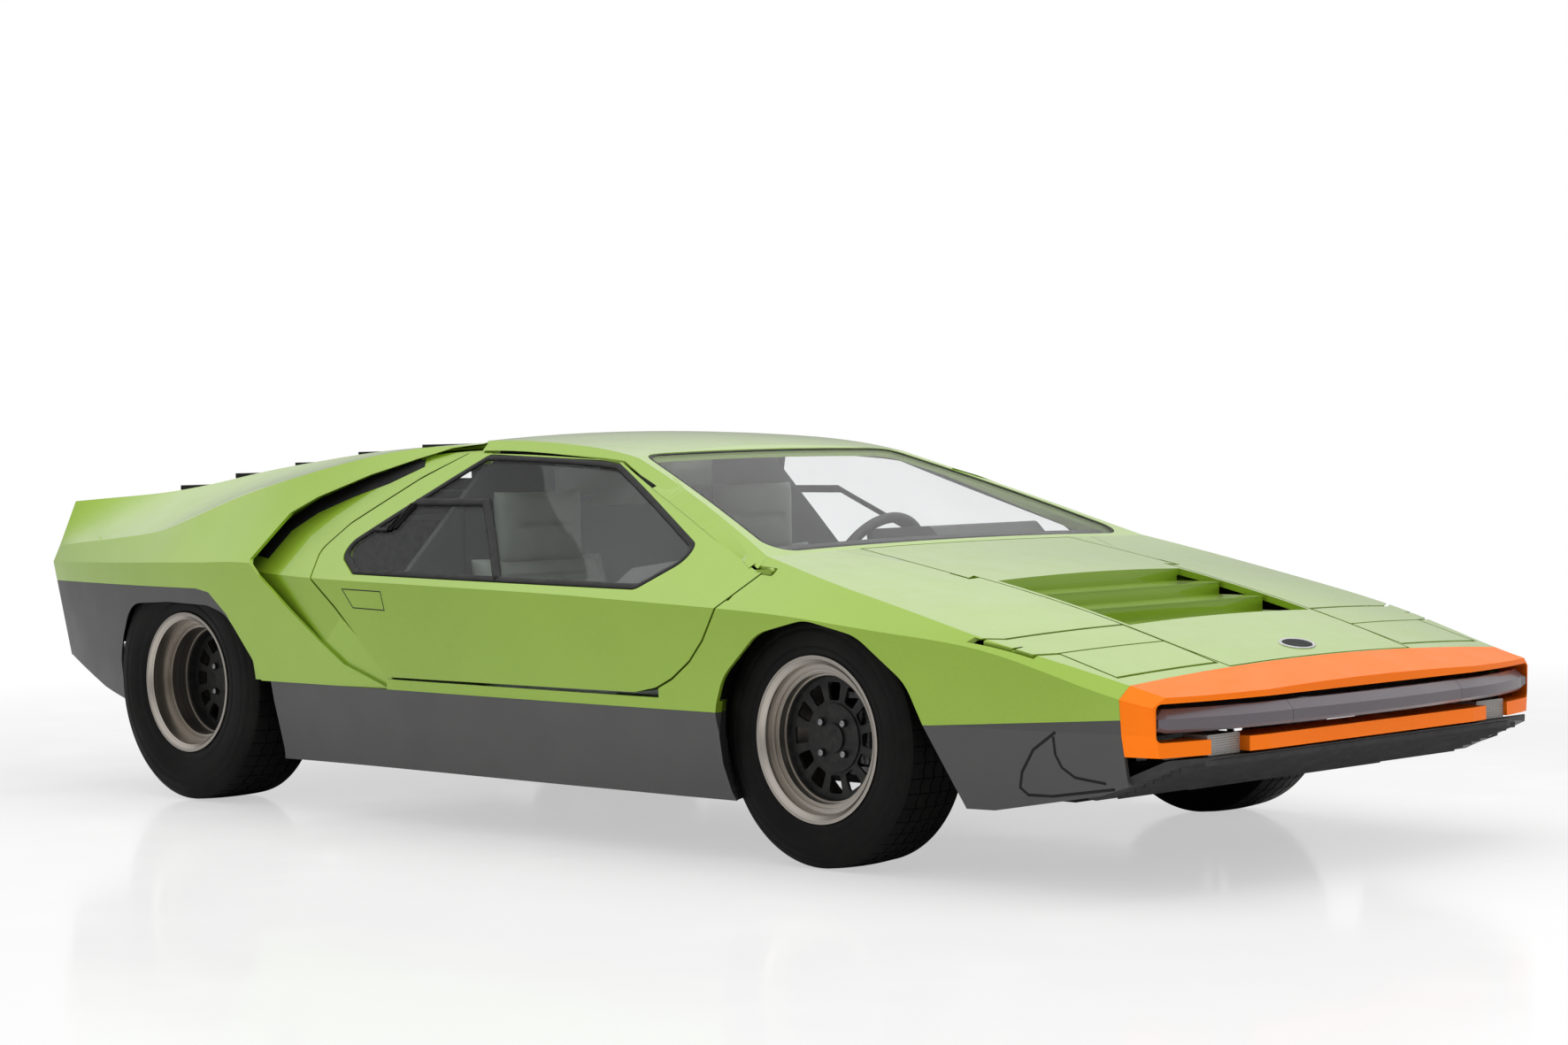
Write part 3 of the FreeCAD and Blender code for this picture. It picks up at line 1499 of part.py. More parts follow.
# Wheels and what carries them
lip_wall_radial = 8.0
slot_inner_radius = 86.0
slot_outer_radius = 128.0
slot_share = 0.64
slot_rounding = 7.0
plate_radius = 78.0
cap_radius = 33.0
nut_radius = 9.0
nut_height = 8.0
plate_height = 4.0
hub_length = 70.0
cap_height = 6.0


def rim_profile(half, lip_y, dish_y):
    """Half section of barrel, stepped dish and centre disc, as (y, radius) places."""
    bed = rim_bead_radius
    inner = bed - rim_wall
    depth = lip_y - dish_y
    step_y = lip_y - 0.38 * depth
    lower_y = dish_y + 0.22 * depth
    step_radius = inner - 2.4 * rim_wall
    disc_radius = step_radius - 2.2 * rim_wall
    return [
        (-half, rim_radius),
        (-half, inner),
        (step_y - rim_wall, inner),
        (step_y - rim_wall, step_radius - rim_wall),
        (lower_y - rim_wall, step_radius - 1.4 * rim_wall),
        (dish_y - rim_wall, disc_radius),
        (dish_y - rim_wall, 0),
        (dish_y, 0),
        (dish_y, disc_radius),
        (lower_y, disc_radius + rim_wall / 2),
        (lower_y, step_radius),
        (step_y, step_radius + rim_wall / 3),
        (step_y, inner - rim_wall / 3),
        (lip_y - 1.4 * rim_wall, inner),
        (lip_y, rim_radius - lip_wall_radial),
        (lip_y, rim_radius),
        (lip_y - rim_wall, rim_radius),
        (lip_y - 2 * rim_wall, bed),
        (-half + 2 * rim_wall, bed),
        (-half + rim_wall, rim_radius),
    ]


def rim_slot(dish_y):
    """One rounded slot of the disc, wider outside."""
    half_angle = math.pi / slot_count * slot_share
    corners = []
    for radius, turn in (
        (slot_inner_radius, -1),
        (slot_outer_radius, -1),
        (slot_outer_radius, 1),
        (slot_inner_radius, 1),
    ):
        corners.append(V(radius * math.sin(turn * half_angle), dish_y - 2 * rim_wall, radius * math.cos(half_angle)))
    return rounded_face(corners, slot_rounding).extrude(V(0, 4 * rim_wall, 0))


def turned(shape, angle):
    copy = shape.copy()
    copy.rotate(V(0, 0, 0), V(0, 1, 0), angle)
    return copy


def make_rim(width, lip_y, depth):
    dish_y = lip_y - depth
    rim = revolved(rim_profile(width * 0.40 + 2 * rim_wall, lip_y, dish_y))
    slot = rim_slot(dish_y)
    rim = rim.cut([turned(slot, 360 / slot_count * index) for index in range(slot_count)])
    plate = tube_y(0, 0, dish_y - rim_wall, dish_y + plate_height, plate_radius)
    cap = tube_y(0, 0, dish_y, dish_y + plate_height + cap_height, cap_radius)
    hub = tube_y(0, 0, dish_y - hub_length, dish_y, hub_radius)
    nuts = []
    for index in range(nut_count):
        nut = tube_y(0, nut_circle_radius, dish_y, dish_y + plate_height + nut_height, nut_radius)
        nuts.append(turned(nut, 360 / nut_count * (index + 0.5)))
    rim = rim.fuse([plate, cap, hub] + nuts)
    return rim.cut(tube_y(0, 0, dish_y - hub_length - rim_wall, dish_y - rim_wall, spindle_radius + running_fit))


def make_tyre(width, radius):
    return revolved(tyre_profile(width, radius, rim_bead_radius + seat_gap))


def placed(shape, x, y, z):
    return shape.translated(V(x, y, z))


front_lip_y = 95.0
rear_lip_y = 110.5
front_rim = placed(make_rim(front_tyre_width, front_lip_y, front_dish_depth), front_axle_x, front_track_half,
                   front_axle_z)
rear_rim = placed(make_rim(rear_tyre_width, rear_lip_y, rear_dish_depth), rear_axle_x, rear_track_half, rear_axle_z)
front_tyre = placed(make_tyre(front_tyre_width, front_tyre_radius), front_axle_x, front_track_half, front_axle_z)
rear_tyre = placed(make_tyre(rear_tyre_width, rear_tyre_radius), rear_axle_x, rear_track_half, rear_axle_z)
save_pair("front_rim", [front_rim])
save_pair("rear_rim", [rear_rim])
save_pair("front_tyre", [front_tyre])
save_pair("rear_tyre", [rear_tyre])

sleeve_radius = 22.0
lower_arm_low_z = up(0.205)
lower_arm_high_z = up(0.225)
upper_arm_low_z = up(0.382)
upper_arm_high_z = up(0.396)
arm_tip_half = 30.0
arm_root_half = 62.0
arm_straight_y = across(0.560)
knuckle_gap = 6.0
front_disc_y = front_track_half + front_lip_y - front_dish_depth - rim_wall
rear_disc_y = rear_track_half + rear_lip_y - rear_dish_depth - rim_wall
spindle_end_gap = 6.0


def make_front_knuckle():
    low = lower_arm_high_z + knuckle_gap
    high = upper_arm_low_z - knuckle_gap
    sleeve = Part.makeCylinder(sleeve_radius, high - low, V(front_axle_x, kingpin_y, low))
    spindle = tube_y(front_axle_x, front_axle_z, kingpin_y, front_disc_y - spindle_end_gap, spindle_radius)
    bore = Part.makeCylinder(kingpin_radius + running_fit, height, V(front_axle_x, kingpin_y, 0))
    return sleeve.fuse(spindle).cut(bore)


def arm_outline(root_y):
    return [
        (front_axle_x - arm_root_half, root_y),
        (front_axle_x + arm_root_half, root_y),
        (front_axle_x + arm_tip_half, arm_straight_y),
        (front_axle_x + arm_tip_half, kingpin_y + arm_tip_half),
        (front_axle_x - arm_tip_half, kingpin_y + arm_tip_half),
        (front_axle_x - arm_tip_half, arm_straight_y),
    ]


def make_front_suspension():
    """Lower and upper arm, foot on the floor pan and kingpin of one side."""
    foot_y = across(0.360)
    foot = block(front_axle_x - arm_root_half, front_axle_x + arm_root_half, foot_y - overrun, foot_y,
                 floor_top_z + seat_gap, lower_arm_high_z)
    lower = plan_prism(arm_outline(foot_y - skin), lower_arm_low_z, lower_arm_high_z)
    upper = plan_prism(arm_outline(bay_half + seat_gap), upper_arm_low_z, upper_arm_high_z)
    kingpin = Part.makeCylinder(kingpin_radius, upper_arm_high_z - lower_arm_low_z,
                                V(front_axle_x, kingpin_y, lower_arm_low_z))
    return foot.fuse([lower, upper, kingpin])


def make_rear_suspension():
    """Half shaft housing, carrier and arm of one side, fixed to the engine block."""
    shaft = tube_y(rear_axle_x, rear_axle_z, engine_half + seat_gap, rear_disc_y - hub_length, sleeve_radius)
    spindle = tube_y(rear_axle_x, rear_axle_z, engine_half + overrun, rear_disc_y - spindle_end_gap, spindle_radius)
    arm = block(rear_axle_x - arm_tip_half, rear_axle_x + arm_tip_half, across(0.450), across(0.560),
                floor_top_z + seat_gap, rear_axle_z)
    return shaft.fuse([spindle, arm])


save_pair("front_knuckle", [make_front_knuckle()])
save("front_suspension", on_both_sides(make_front_suspension()))
save("rear_suspension", on_both_sides(make_rear_suspension()))


# Tail: recessed dark panel with lamps, and exhaust outlets
tail_panel_x = tail_x + 14.0
tail_panel_wall = 6.0
tail_lamp_depth = 8.0
exhaust_radius = 30.0
exhaust_wall = 3.0
exhaust_places = (across(0.110), across(0.230))
exhaust_z = up(0.480)


def make_tail_panel():
    room = rear_body(skin + seat_gap)
    panel = room.common(block(tail_panel_x, tail_panel_x + tail_panel_wall, -half_width, half_width, up(0.400), height))
    holes = []
    for y in exhaust_places:
        holes += on_both_sides(tube_x(tail_x, tail_x + overrun, y, exhaust_z, exhaust_radius + seat_gap))
    return panel.cut(holes)


def make_tail_lamps():
    lamp = block(tail_panel_x - tail_lamp_depth, tail_panel_x - seat_gap, across(0.430), across(0.800), up(0.660),
                 up(0.770))
    return on_both_sides(lamp)


def make_exhaust():
    """Flat silencer behind the engine with four outlets through the tail panel."""
    silencer = block(along(-1.1900), along(-1.0900), -across(0.330), across(0.330), exhaust_z - 2 * exhaust_radius,
                     exhaust_z + 1.5 * exhaust_radius)
    pipes = []
    for y in exhaust_places:
        pipe = tube_x(tail_x - lid_end_gap, engine_rear_x - seat_gap, y, exhaust_z, exhaust_radius)
        hollow = tube_x(tail_x - 2 * lid_end_gap, tail_x + 2 * overrun, y, exhaust_z, exhaust_radius - exhaust_wall)
        pipes += on_both_sides(pipe.cut(hollow))
    return silencer.multiFuse(pipes)


save("tail_panel", [make_tail_panel()])
save("tail_lamps", make_tail_lamps())
save("exhaust", [make_exhaust()])
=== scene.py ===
import json
import math

import bmesh
import bpy
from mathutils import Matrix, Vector
from mathutils.bvhtree import BVHTree


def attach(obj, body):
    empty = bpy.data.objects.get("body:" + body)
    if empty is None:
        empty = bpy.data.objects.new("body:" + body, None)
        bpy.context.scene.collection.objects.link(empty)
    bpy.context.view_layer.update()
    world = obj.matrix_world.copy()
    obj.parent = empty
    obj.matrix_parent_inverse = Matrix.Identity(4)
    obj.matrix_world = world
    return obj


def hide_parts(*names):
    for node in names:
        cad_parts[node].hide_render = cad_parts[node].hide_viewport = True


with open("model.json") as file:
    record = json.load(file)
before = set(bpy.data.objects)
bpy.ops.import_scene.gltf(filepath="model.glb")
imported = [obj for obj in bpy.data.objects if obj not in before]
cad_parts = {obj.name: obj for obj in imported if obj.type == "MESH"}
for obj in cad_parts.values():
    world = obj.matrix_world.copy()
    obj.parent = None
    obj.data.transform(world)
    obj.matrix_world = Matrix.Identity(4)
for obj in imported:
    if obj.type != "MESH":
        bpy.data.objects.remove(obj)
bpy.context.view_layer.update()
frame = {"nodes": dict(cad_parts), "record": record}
nodes = frame["nodes"]

# Places and sizes of the wheels, in metres in the row frame
FRONT_AXLE_X = 1.0287
REAR_AXLE_X = -1.3213
FRONT_AXLE_Z = 0.293
REAR_AXLE_Z = 0.323
FRONT_TRACK_HALF = 0.675
REAR_TRACK_HALF = 0.7225
FRONT_TYRE_WIDTH = 0.200
REAR_TYRE_WIDTH = 0.235
BEAD_RADIUS = 0.1785

SIDES = (("left", 1), ("right", -1))


# Windows of a noise's range, each spread over a whole change of look
WIDE = (0.30, 0.70)
TIGHT = (0.35, 0.65)
UPPER = (0.35, 0.70)
WORN = (0.50, 0.75)
DUSTY = (0.45, 0.80)
WHOLE = (0, 1)


# Materials
def material(name, color, roughness, metallic=0.0, **constants):
    """A new material, its node tree and its Principled shader with plain constants set."""
    made = bpy.data.materials.new(name)
    made.use_nodes = True
    tree = made.node_tree
    shader = tree.nodes["Principled BSDF"]
    shader.inputs["Base Color"].default_value = (*color, 1)
    shader.inputs["Roughness"].default_value = roughness
    shader.inputs["Metallic"].default_value = metallic
    for socket, value in constants.items():
        shader.inputs[socket.replace("_", " ")].default_value = value
    return made, tree, shader


def add(tree, kind, inputs=None, **settings):
    """A new node with its settings; inputs hold constants or sockets of other nodes."""
    made = tree.nodes.new("ShaderNode" + kind)
    for key, value in settings.items():
        setattr(made, key, value)
    for key, value in (inputs or {}).items():
        if isinstance(value, bpy.types.NodeSocket):
            tree.links.new(value, made.inputs[key])
        else:
            made.inputs[key].default_value = value
    return made


def place(tree):
    """The object's own coordinates, which are the row frame's metres."""
    return add(tree, "TexCoord").outputs["Object"]


def grain(tree, scale, detail, rough=0.55):
    """Noise in the object's own metres."""
    found = add(
        tree,
        "TexNoise",
        {"Vector": place(tree), "Scale": scale, "Detail": detail, "Roughness": rough},
    )
    return found.outputs["Fac"]


def spread(tree, value, window, low_out, high_out):
    """A value's window mapped to the range from low_out to high_out."""
    low, high = window
    found = add(
        tree,
        "MapRange",
        {"Value": value, "From Min": low, "From Max": high, "To Min": low_out, "To Max": high_out},
    )
    return found.outputs["Result"]


def blend_colors(tree, share, first, second):
    """The first colour where share is 0, and the second where it is 1."""
    mixed = add(tree, "Mix", data_type="RGBA")
    for index, value in ((0, share), (6, first), (7, second)):
        if isinstance(value, bpy.types.NodeSocket):
            tree.links.new(value, mixed.inputs[index])
        else:
            mixed.inputs[index].default_value = value if index == 0 else (*value, 1)
    return mixed.outputs[2]


def either(tree, first, second):
    """1 where one of two values is, such as two kinds of light ray."""
    return add(tree, "Math", {0: first, 1: second}, operation="MAXIMUM").outputs["Value"]


def mix_surface(tree, share, first, second):
    """A material's surface from two shaders."""
    both = add(tree, "MixShader", {0: share, 1: first, 2: second})
    tree.links.new(both.outputs["Shader"], tree.nodes["Material Output"].inputs["Surface"])


def roughen(tree, shader, height, depth):
    """Height as a bump of that depth in metres."""
    bump = add(tree, "Bump", {"Height": height, "Distance": depth, "Strength": 1.0})
    tree.links.new(bump.outputs["Normal"], shader.inputs["Normal"])


ORANGE_PEEL = 0.00002


def paint(name, color, deep, metallic, roughness, coat):
    """Sprayed paint: fine flake, slow drift of shade, faint orange peel and dust in the gloss."""
    made, tree, shader = material(
        name, color, roughness, metallic, Coat_Weight=coat, Coat_Roughness=0.035, Coat_IOR=1.5
    )
    flake = spread(tree, grain(tree, 1800, 1.0), TIGHT, 0, 1)
    drift = spread(tree, grain(tree, 1.3, 3.0), TIGHT, 0, 0.45)
    speckled = blend_colors(tree, flake, deep, color)
    shade = blend_colors(tree, drift, speckled, color)
    tree.links.new(shade, shader.inputs["Base Color"])
    dust = spread(tree, grain(tree, 9, 5.0), WIDE, roughness - 0.04, roughness + 0.05)
    tree.links.new(dust, shader.inputs["Roughness"])
    roughen(tree, shader, grain(tree, 160, 2.0), ORANGE_PEEL)
    return made


def moulded(name, color, worn, roughness, cell, depth):
    """Grained plastic, vinyl or rubber: cells in the surface and lighter rubbed places."""
    made, tree, shader = material(name, color, roughness, Specular_IOR_Level=0.22)
    rubbed = spread(tree, grain(tree, 14, 5.0), WORN, 0, 0.6)
    tree.links.new(blend_colors(tree, rubbed, color, worn), shader.inputs["Base Color"])
    cells = add(tree, "TexVoronoi", {"Vector": place(tree), "Scale": cell}, feature="DISTANCE_TO_EDGE")
    height = spread(tree, cells.outputs["Distance"], (0, 0.25), 0, 1)
    roughen(tree, shader, height, depth)
    varied = spread(tree, grain(tree, 30, 3.0), WIDE, roughness - 0.06, roughness + 0.08)
    tree.links.new(varied, shader.inputs["Roughness"])
    return made


def metal(name, color, dark, roughness, scale=220):
    """Bare metal with fine marks and dull patches."""
    made, tree, shader = material(name, color, roughness, 1.0)
    lines = grain(tree, scale, 3.0)
    shade = blend_colors(tree, spread(tree, lines, WIDE, 0, 1), dark, color)
    tree.links.new(shade, shader.inputs["Base Color"])
    dull = spread(tree, grain(tree, 18, 4.0), WIDE, roughness - 0.05, roughness + 0.12)
    tree.links.new(dull, shader.inputs["Roughness"])
    roughen(tree, shader, lines, 0.00003)
    return made


FADED = 0.96


def glazed(name, tint, shadow, sheen):
    """Thin tinted pane: what is behind shows through unbent, under a mirror sheen."""
    made, tree, shader = material(
        name,
        tint,
        0.0,
        Transmission_Weight=1.0,
        IOR=1.03,
        Coat_Weight=sheen,
        Coat_Roughness=0.015,
        Coat_IOR=1.5,
    )
    drift = spread(tree, grain(tree, 2.0, 3.0), TIGHT, 0, 1)
    faded = tuple(FADED * value for value in tint)
    tree.links.new(blend_colors(tree, drift, tint, faded), shader.inputs["Base Color"])
    clear = add(tree, "BsdfTransparent", {"Color": (*shadow, 1)})
    path = add(tree, "LightPath")
    passing = either(tree, path.outputs["Is Shadow Ray"], path.outputs["Is Diffuse Ray"])
    mix_surface(tree, passing, shader.outputs["BSDF"], clear.outputs["BSDF"])
    return made


def lamp_plastic():
    """Milky moulded lens with a grid of small prisms."""
    made, tree, shader = material(
        "lamp_plastic", (0.50, 0.49, 0.46), 0.22, Transmission_Weight=0.25, IOR=1.3, Coat_Weight=0.5
    )
    ways = [
        add(tree, "TexWave", {"Vector": place(tree), "Scale": 62.0}, wave_type="BANDS", bands_direction=way)
        for way in ("Y", "Z")
    ]
    lines = {0: ways[0].outputs["Fac"], 1: ways[1].outputs["Fac"]}
    grid = add(tree, "Math", lines, operation="MINIMUM").outputs["Value"]
    share = spread(tree, grid, (0.0, 0.5), 1, 0)
    shade = blend_colors(tree, share, (0.56, 0.55, 0.52), (0.20, 0.20, 0.19))
    tree.links.new(shade, shader.inputs["Base Color"])
    roughen(tree, shader, grid, 0.001)
    return made


body_paint = paint("body_paint", (0.295, 0.460, 0.028), (0.175, 0.300, 0.012), 0.5, 0.33, 0.85)
lower_paint = paint("lower_paint", (0.060, 0.061, 0.060), (0.036, 0.037, 0.036), 0.30, 0.42, 0.12)
nose_paint = paint("nose_paint", (1.00, 0.215, 0.000), (0.97, 0.180, 0.000), 0.75, 0.48, 0.06)
bar_paint = paint("bar_paint", (0.125, 0.108, 0.122), (0.085, 0.070, 0.082), 0.4, 0.34, 0.4)
glass = glazed("smoked_glass", (0.90, 0.92, 0.92), (0.88, 0.90, 0.90), 0.28)
screen_glass = glazed("screen_glass", (0.95, 0.96, 0.955), (0.94, 0.95, 0.94), 0.30)
lamp_lens = lamp_plastic()
black_trim = moulded("black_trim", (0.006, 0.006, 0.0065), (0.014, 0.014, 0.0145), 0.58, 900, 0.00008)
seal_rubber = moulded("seal_rubber", (0.005, 0.005, 0.005), (0.012, 0.012, 0.012), 0.45, 1400, 0.00004)
dash_vinyl = moulded("dash_vinyl", (0.052, 0.055, 0.052), (0.085, 0.088, 0.084), 0.6, 700, 0.00016)
rib_trim = moulded("rib_trim", (0.030, 0.030, 0.031), (0.050, 0.050, 0.051), 0.5, 800, 0.00008)
cabin_trim = moulded("cabin_trim", (0.030, 0.032, 0.031), (0.05, 0.052, 0.05), 0.8, 420, 0.0004)
grip_leather = moulded("grip_leather", (0.022, 0.023, 0.022), (0.05, 0.05, 0.048), 0.5, 950, 0.00014)
steel = metal("steel", (0.30, 0.30, 0.31), (0.16, 0.16, 0.17), 0.30)
chrome = metal("chrome", (0.72, 0.72, 0.73), (0.55, 0.55, 0.56), 0.14)
engine_metal = metal("engine_metal", (0.20, 0.20, 0.21), (0.10, 0.10, 0.11), 0.6, scale=60)


def leather():
    """Grey-green hide: pebbled grain, creases and a soft shine where it is rubbed."""
    made, tree, shader = material(
        "seat_leather", (0.105, 0.122, 0.105), 0.46, Sheen_Weight=0.15, Sheen_Roughness=0.4
    )
    patches = spread(tree, grain(tree, 7, 5.0), UPPER, 0, 1)
    shade = blend_colors(tree, patches, (0.13, 0.15, 0.13), (0.20, 0.22, 0.19))
    tree.links.new(shade, shader.inputs["Base Color"])
    cells = add(tree, "TexVoronoi", {"Vector": place(tree), "Scale": 620.0}, feature="DISTANCE_TO_EDGE")
    pebbles = spread(tree, cells.outputs["Distance"], (0, 0.2), 0, 0.5)
    creases = grain(tree, 45, 6.0, 0.65)
    both = add(tree, "Math", {0: pebbles, 1: creases}, operation="ADD")
    roughen(tree, shader, both.outputs["Value"], 0.0005)
    shine = spread(tree, grain(tree, 12, 4.0), UPPER, 0.38, 0.56)
    tree.links.new(shine, shader.inputs["Roughness"])
    return made


seat_leather = leather()


def lens_plastic():
    """Red lens with upright moulded ribs."""
    made, tree, shader = material(
        "tail_lens", (0.42, 0.012, 0.012), 0.3, Coat_Weight=0.2, Coat_Roughness=0.1
    )
    ribs = add(
        tree,
        "TexWave",
        {"Vector": place(tree), "Scale": 55.0},
        wave_type="BANDS",
        bands_direction="Y",
        wave_profile="SIN",
    )
    roughen(tree, shader, ribs.outputs["Fac"], 0.0012)
    patches = spread(tree, grain(tree, 40, 3.0), WIDE, 0, 1)
    shade = blend_colors(tree, patches, (0.34, 0.008, 0.008), (0.52, 0.02, 0.015))
    tree.links.new(shade, shader.inputs["Base Color"])
    return made


tail_lens = lens_plastic()


def tyre_rubber():
    """Black matt rubber with faint dust."""
    made, tree, shader = material("tyre_rubber", (0.004, 0.004, 0.004), 0.6, Specular_IOR_Level=0.12)
    dusty = spread(tree, grain(tree, 16, 6.0), DUSTY, 0, 0.8)
    shade = blend_colors(tree, dusty, (0.0025, 0.0025, 0.0024), (0.008, 0.0078, 0.007))
    tree.links.new(shade, shader.inputs["Base Color"])
    roughen(tree, shader, grain(tree, 700, 3.0), 0.00012)
    sheen = spread(tree, grain(tree, 8, 4.0), WIDE, 0.50, 0.68)
    tree.links.new(sheen, shader.inputs["Roughness"])
    return made


rubber = tyre_rubber()


RIM_DISC_RADIUS = 0.142
DISC_EDGE = 0.0006


def rim_metal(name, x, z):
    """Brushed lip and barrel, and a charcoal disc between them, turned about the wheel's axis."""
    made, tree, shader = material(name, (0.40, 0.375, 0.345), 0.34, 1.0)
    split = add(tree, "SeparateXYZ", {"Vector": place(tree)})
    off_x = add(tree, "Math", {0: split.outputs["X"], 1: x}, operation="SUBTRACT").outputs["Value"]
    off_z = add(tree, "Math", {0: split.outputs["Z"], 1: z}, operation="SUBTRACT").outputs["Value"]
    flat = add(tree, "CombineXYZ", {"X": off_x, "Y": off_z})
    radius = add(tree, "VectorMath", {0: flat.outputs["Vector"]}, operation="LENGTH").outputs["Value"]
    rings = add(tree, "CombineXYZ", {"X": radius, "Y": split.outputs["Y"]})
    turned = {"Vector": rings.outputs["Vector"], "Scale": 420.0, "Detail": 2.0}
    lines = add(tree, "TexNoise", turned).outputs["Fac"]
    brushed = spread(tree, lines, WIDE, 0, 1)
    bright = blend_colors(tree, brushed, (0.27, 0.245, 0.215), (0.46, 0.425, 0.385))
    patches = spread(tree, grain(tree, 60, 5.0), UPPER, 0, 1)
    dark = blend_colors(tree, patches, (0.010, 0.010, 0.010), (0.026, 0.026, 0.025))
    inner = spread(tree, radius, (RIM_DISC_RADIUS - DISC_EDGE, RIM_DISC_RADIUS + DISC_EDGE), 1, 0)
    tree.links.new(blend_colors(tree, inner, bright, dark), shader.inputs["Base Color"])
    tree.links.new(spread(tree, inner, WHOLE, 0.34, 0.52), shader.inputs["Roughness"])
    tree.links.new(spread(tree, inner, WHOLE, 1.0, 0.55), shader.inputs["Metallic"])
    roughen(tree, shader, lines, 0.00006)
    return made


rim_front = rim_metal("rim_front", FRONT_AXLE_X, FRONT_AXLE_Z)
rim_rear = rim_metal("rim_rear", REAR_AXLE_X, REAR_AXLE_Z)


FINISHES = {
    "body_paint": body_paint,
    "lower_paint": lower_paint,
    "nose_paint": nose_paint,
    "bar_paint": bar_paint,
    "glass": glass,
    "lamp_glass": lamp_lens,
    "tail_lens": tail_lens,
    "black_trim": black_trim,
    "dash_trim": dash_vinyl,
    "seat_leather": seat_leather,
    "rim_metal": rim_front,
    "tyre_rubber": rubber,
    "steel": steel,
    "engine_metal": engine_metal,
}
NODE_FINISHES = {
    "rear_rim_left": rim_rear,
    "rear_rim_right": rim_rear,
    "floor_pan": cabin_trim,
    "rear_bulkhead": cabin_trim,
    "steering_wheel": grip_leather,
    "windscreen": screen_glass,
    "front_grille": rib_trim,
}


for part in frame["record"]["subparts"]:
    node = nodes[part["node"]]
    finish = NODE_FINISHES.get(part["node"], FINISHES[part["material_slot"]])
    if node.material_slots:
        for used in node.material_slots:
            used.material = finish
    else:
        node.data.materials.append(finish)


# Making pieces
SAME_PLACE = 1e-7


def piece(name, points, faces, finish, body, smooth=True):
    """A mesh piece that rides on a body, with its normals turned outwards."""
    mesh = bpy.data.meshes.new(name)
    mesh.from_pydata([tuple(point) for point in points], [], faces)
    shape = bmesh.new()
    shape.from_mesh(mesh)
    bmesh.ops.remove_doubles(shape, verts=shape.verts, dist=SAME_PLACE)
    bmesh.ops.recalc_face_normals(shape, faces=shape.faces)
    shape.to_mesh(mesh)
    shape.free()
    for face in mesh.polygons:
        face.use_smooth = smooth
    obj = bpy.data.objects.new(name, mesh)
    bpy.context.scene.collection.objects.link(obj)
    obj.data.materials.append(finish)
    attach(obj, body)
    return obj


def modify(obj, kind, **settings):
    """A new modifier of that kind with its settings."""
    made = obj.modifiers.new(kind.lower(), kind)
    for key, value in settings.items():
        setattr(made, key, value)


def grid_faces(rows, columns, close_rows=False, close_columns=False):
    """Quads of a grid of points, kept row by row."""
    faces = []
    for i in range(rows if close_rows else rows - 1):
        for j in range(columns if close_columns else columns - 1):
            a = i * columns + j
            b = i * columns + (j + 1) % columns
            c = (i + 1) % rows * columns + (j + 1) % columns
            d = (i + 1) % rows * columns + j
            faces.append((a, b, c, d))
    return faces


def surface_of(*names):
    """A tree of the nodes' meshes, for finding places on them."""
    shape = bmesh.new()
    for name in names:
        shape.from_mesh(nodes[name].data)
    found = BVHTree.FromBMesh(shape)
    shape.free()
    return found


RAY_REACH = 3.0


def on_surface(tree, point, way):
    """Where a ray from outside along -way meets the surface, or the nearest place to the point."""
    way = Vector(way).normalized()
    hit, normal, _, _ = tree.ray_cast(Vector(point) + way * RAY_REACH, -way)
    if hit is None:
        hit, normal, _, _ = tree.find_nearest(Vector(point))
    if normal.dot(way) < 0:
        normal = -normal
    return hit, normal


def divided(points, step, closed=False):
    """The polyline's points with more between them, no further apart than step."""
    found = []
    onward = points[1:] + points[:1] if closed else points[1:]
    for a, b in zip(points, onward):
        a, b = Vector(a), Vector(b)
        count = max(1, math.ceil((b - a).length / step))
        found += [a.lerp(b, k / count) for k in range(count)]
    if not closed:
        found.append(Vector(points[-1]))
    return found


# A strip's section: (share of its width, share of its height)
STRIP = ((-0.5, -0.4), (-0.46, 0.55), (-0.3, 0.9), (0.0, 1.0), (0.3, 0.9), (0.46, 0.55), (0.5, -0.4))
# A direction shorter than this has no length, and corners widen a strip by one over it at most
SHORT = 0.5


def ribbon(name, tree, points, way, width, lift, finish, body, closed=False, step=0.02, shift=0.0):
    """A low crowned black strip laid along a line on a surface, its edges sunk just under it.

    shift moves the strip's middle sideways, to the left of the direction of travel seen along -way.
    """
    line = divided(points, step, closed)
    count = len(line)
    columns = len(STRIP)
    way = Vector(way).normalized()
    made = []
    for i, point in enumerate(line):
        before = line[i - 1] if closed or i else point
        after = line[(i + 1) % count] if closed or i < count - 1 else point
        first = (point - before).normalized()
        second = (after - point).normalized()
        if first.length < SHORT:
            first = second
        if second.length < SHORT:
            second = first
        along = (first + second).normalized()
        left = way.cross(along).normalized()
        stretch = 1 / max(SHORT, along.dot(second))
        for share, height in STRIP:
            hit, normal = on_surface(tree, point + left * (share * width + shift) * stretch, way)
            made.append(hit + normal * height * lift)
    faces = grid_faces(count, columns, close_rows=closed)
    if not closed:
        last = (count - 1) * columns
        faces.append(tuple(range(columns)))
        faces.append(tuple(last + k for k in range(columns)))
    for i in range(count if closed else count - 1):
        here = i * columns
        onward = (i + 1) % count * columns
        faces.append((here, here + columns - 1, onward + columns - 1, onward))
    return piece(name, made, faces, finish, body)


FACES_OUT = 0.35
WELD = 1e-6
OUTLINE_STEP = 0.006


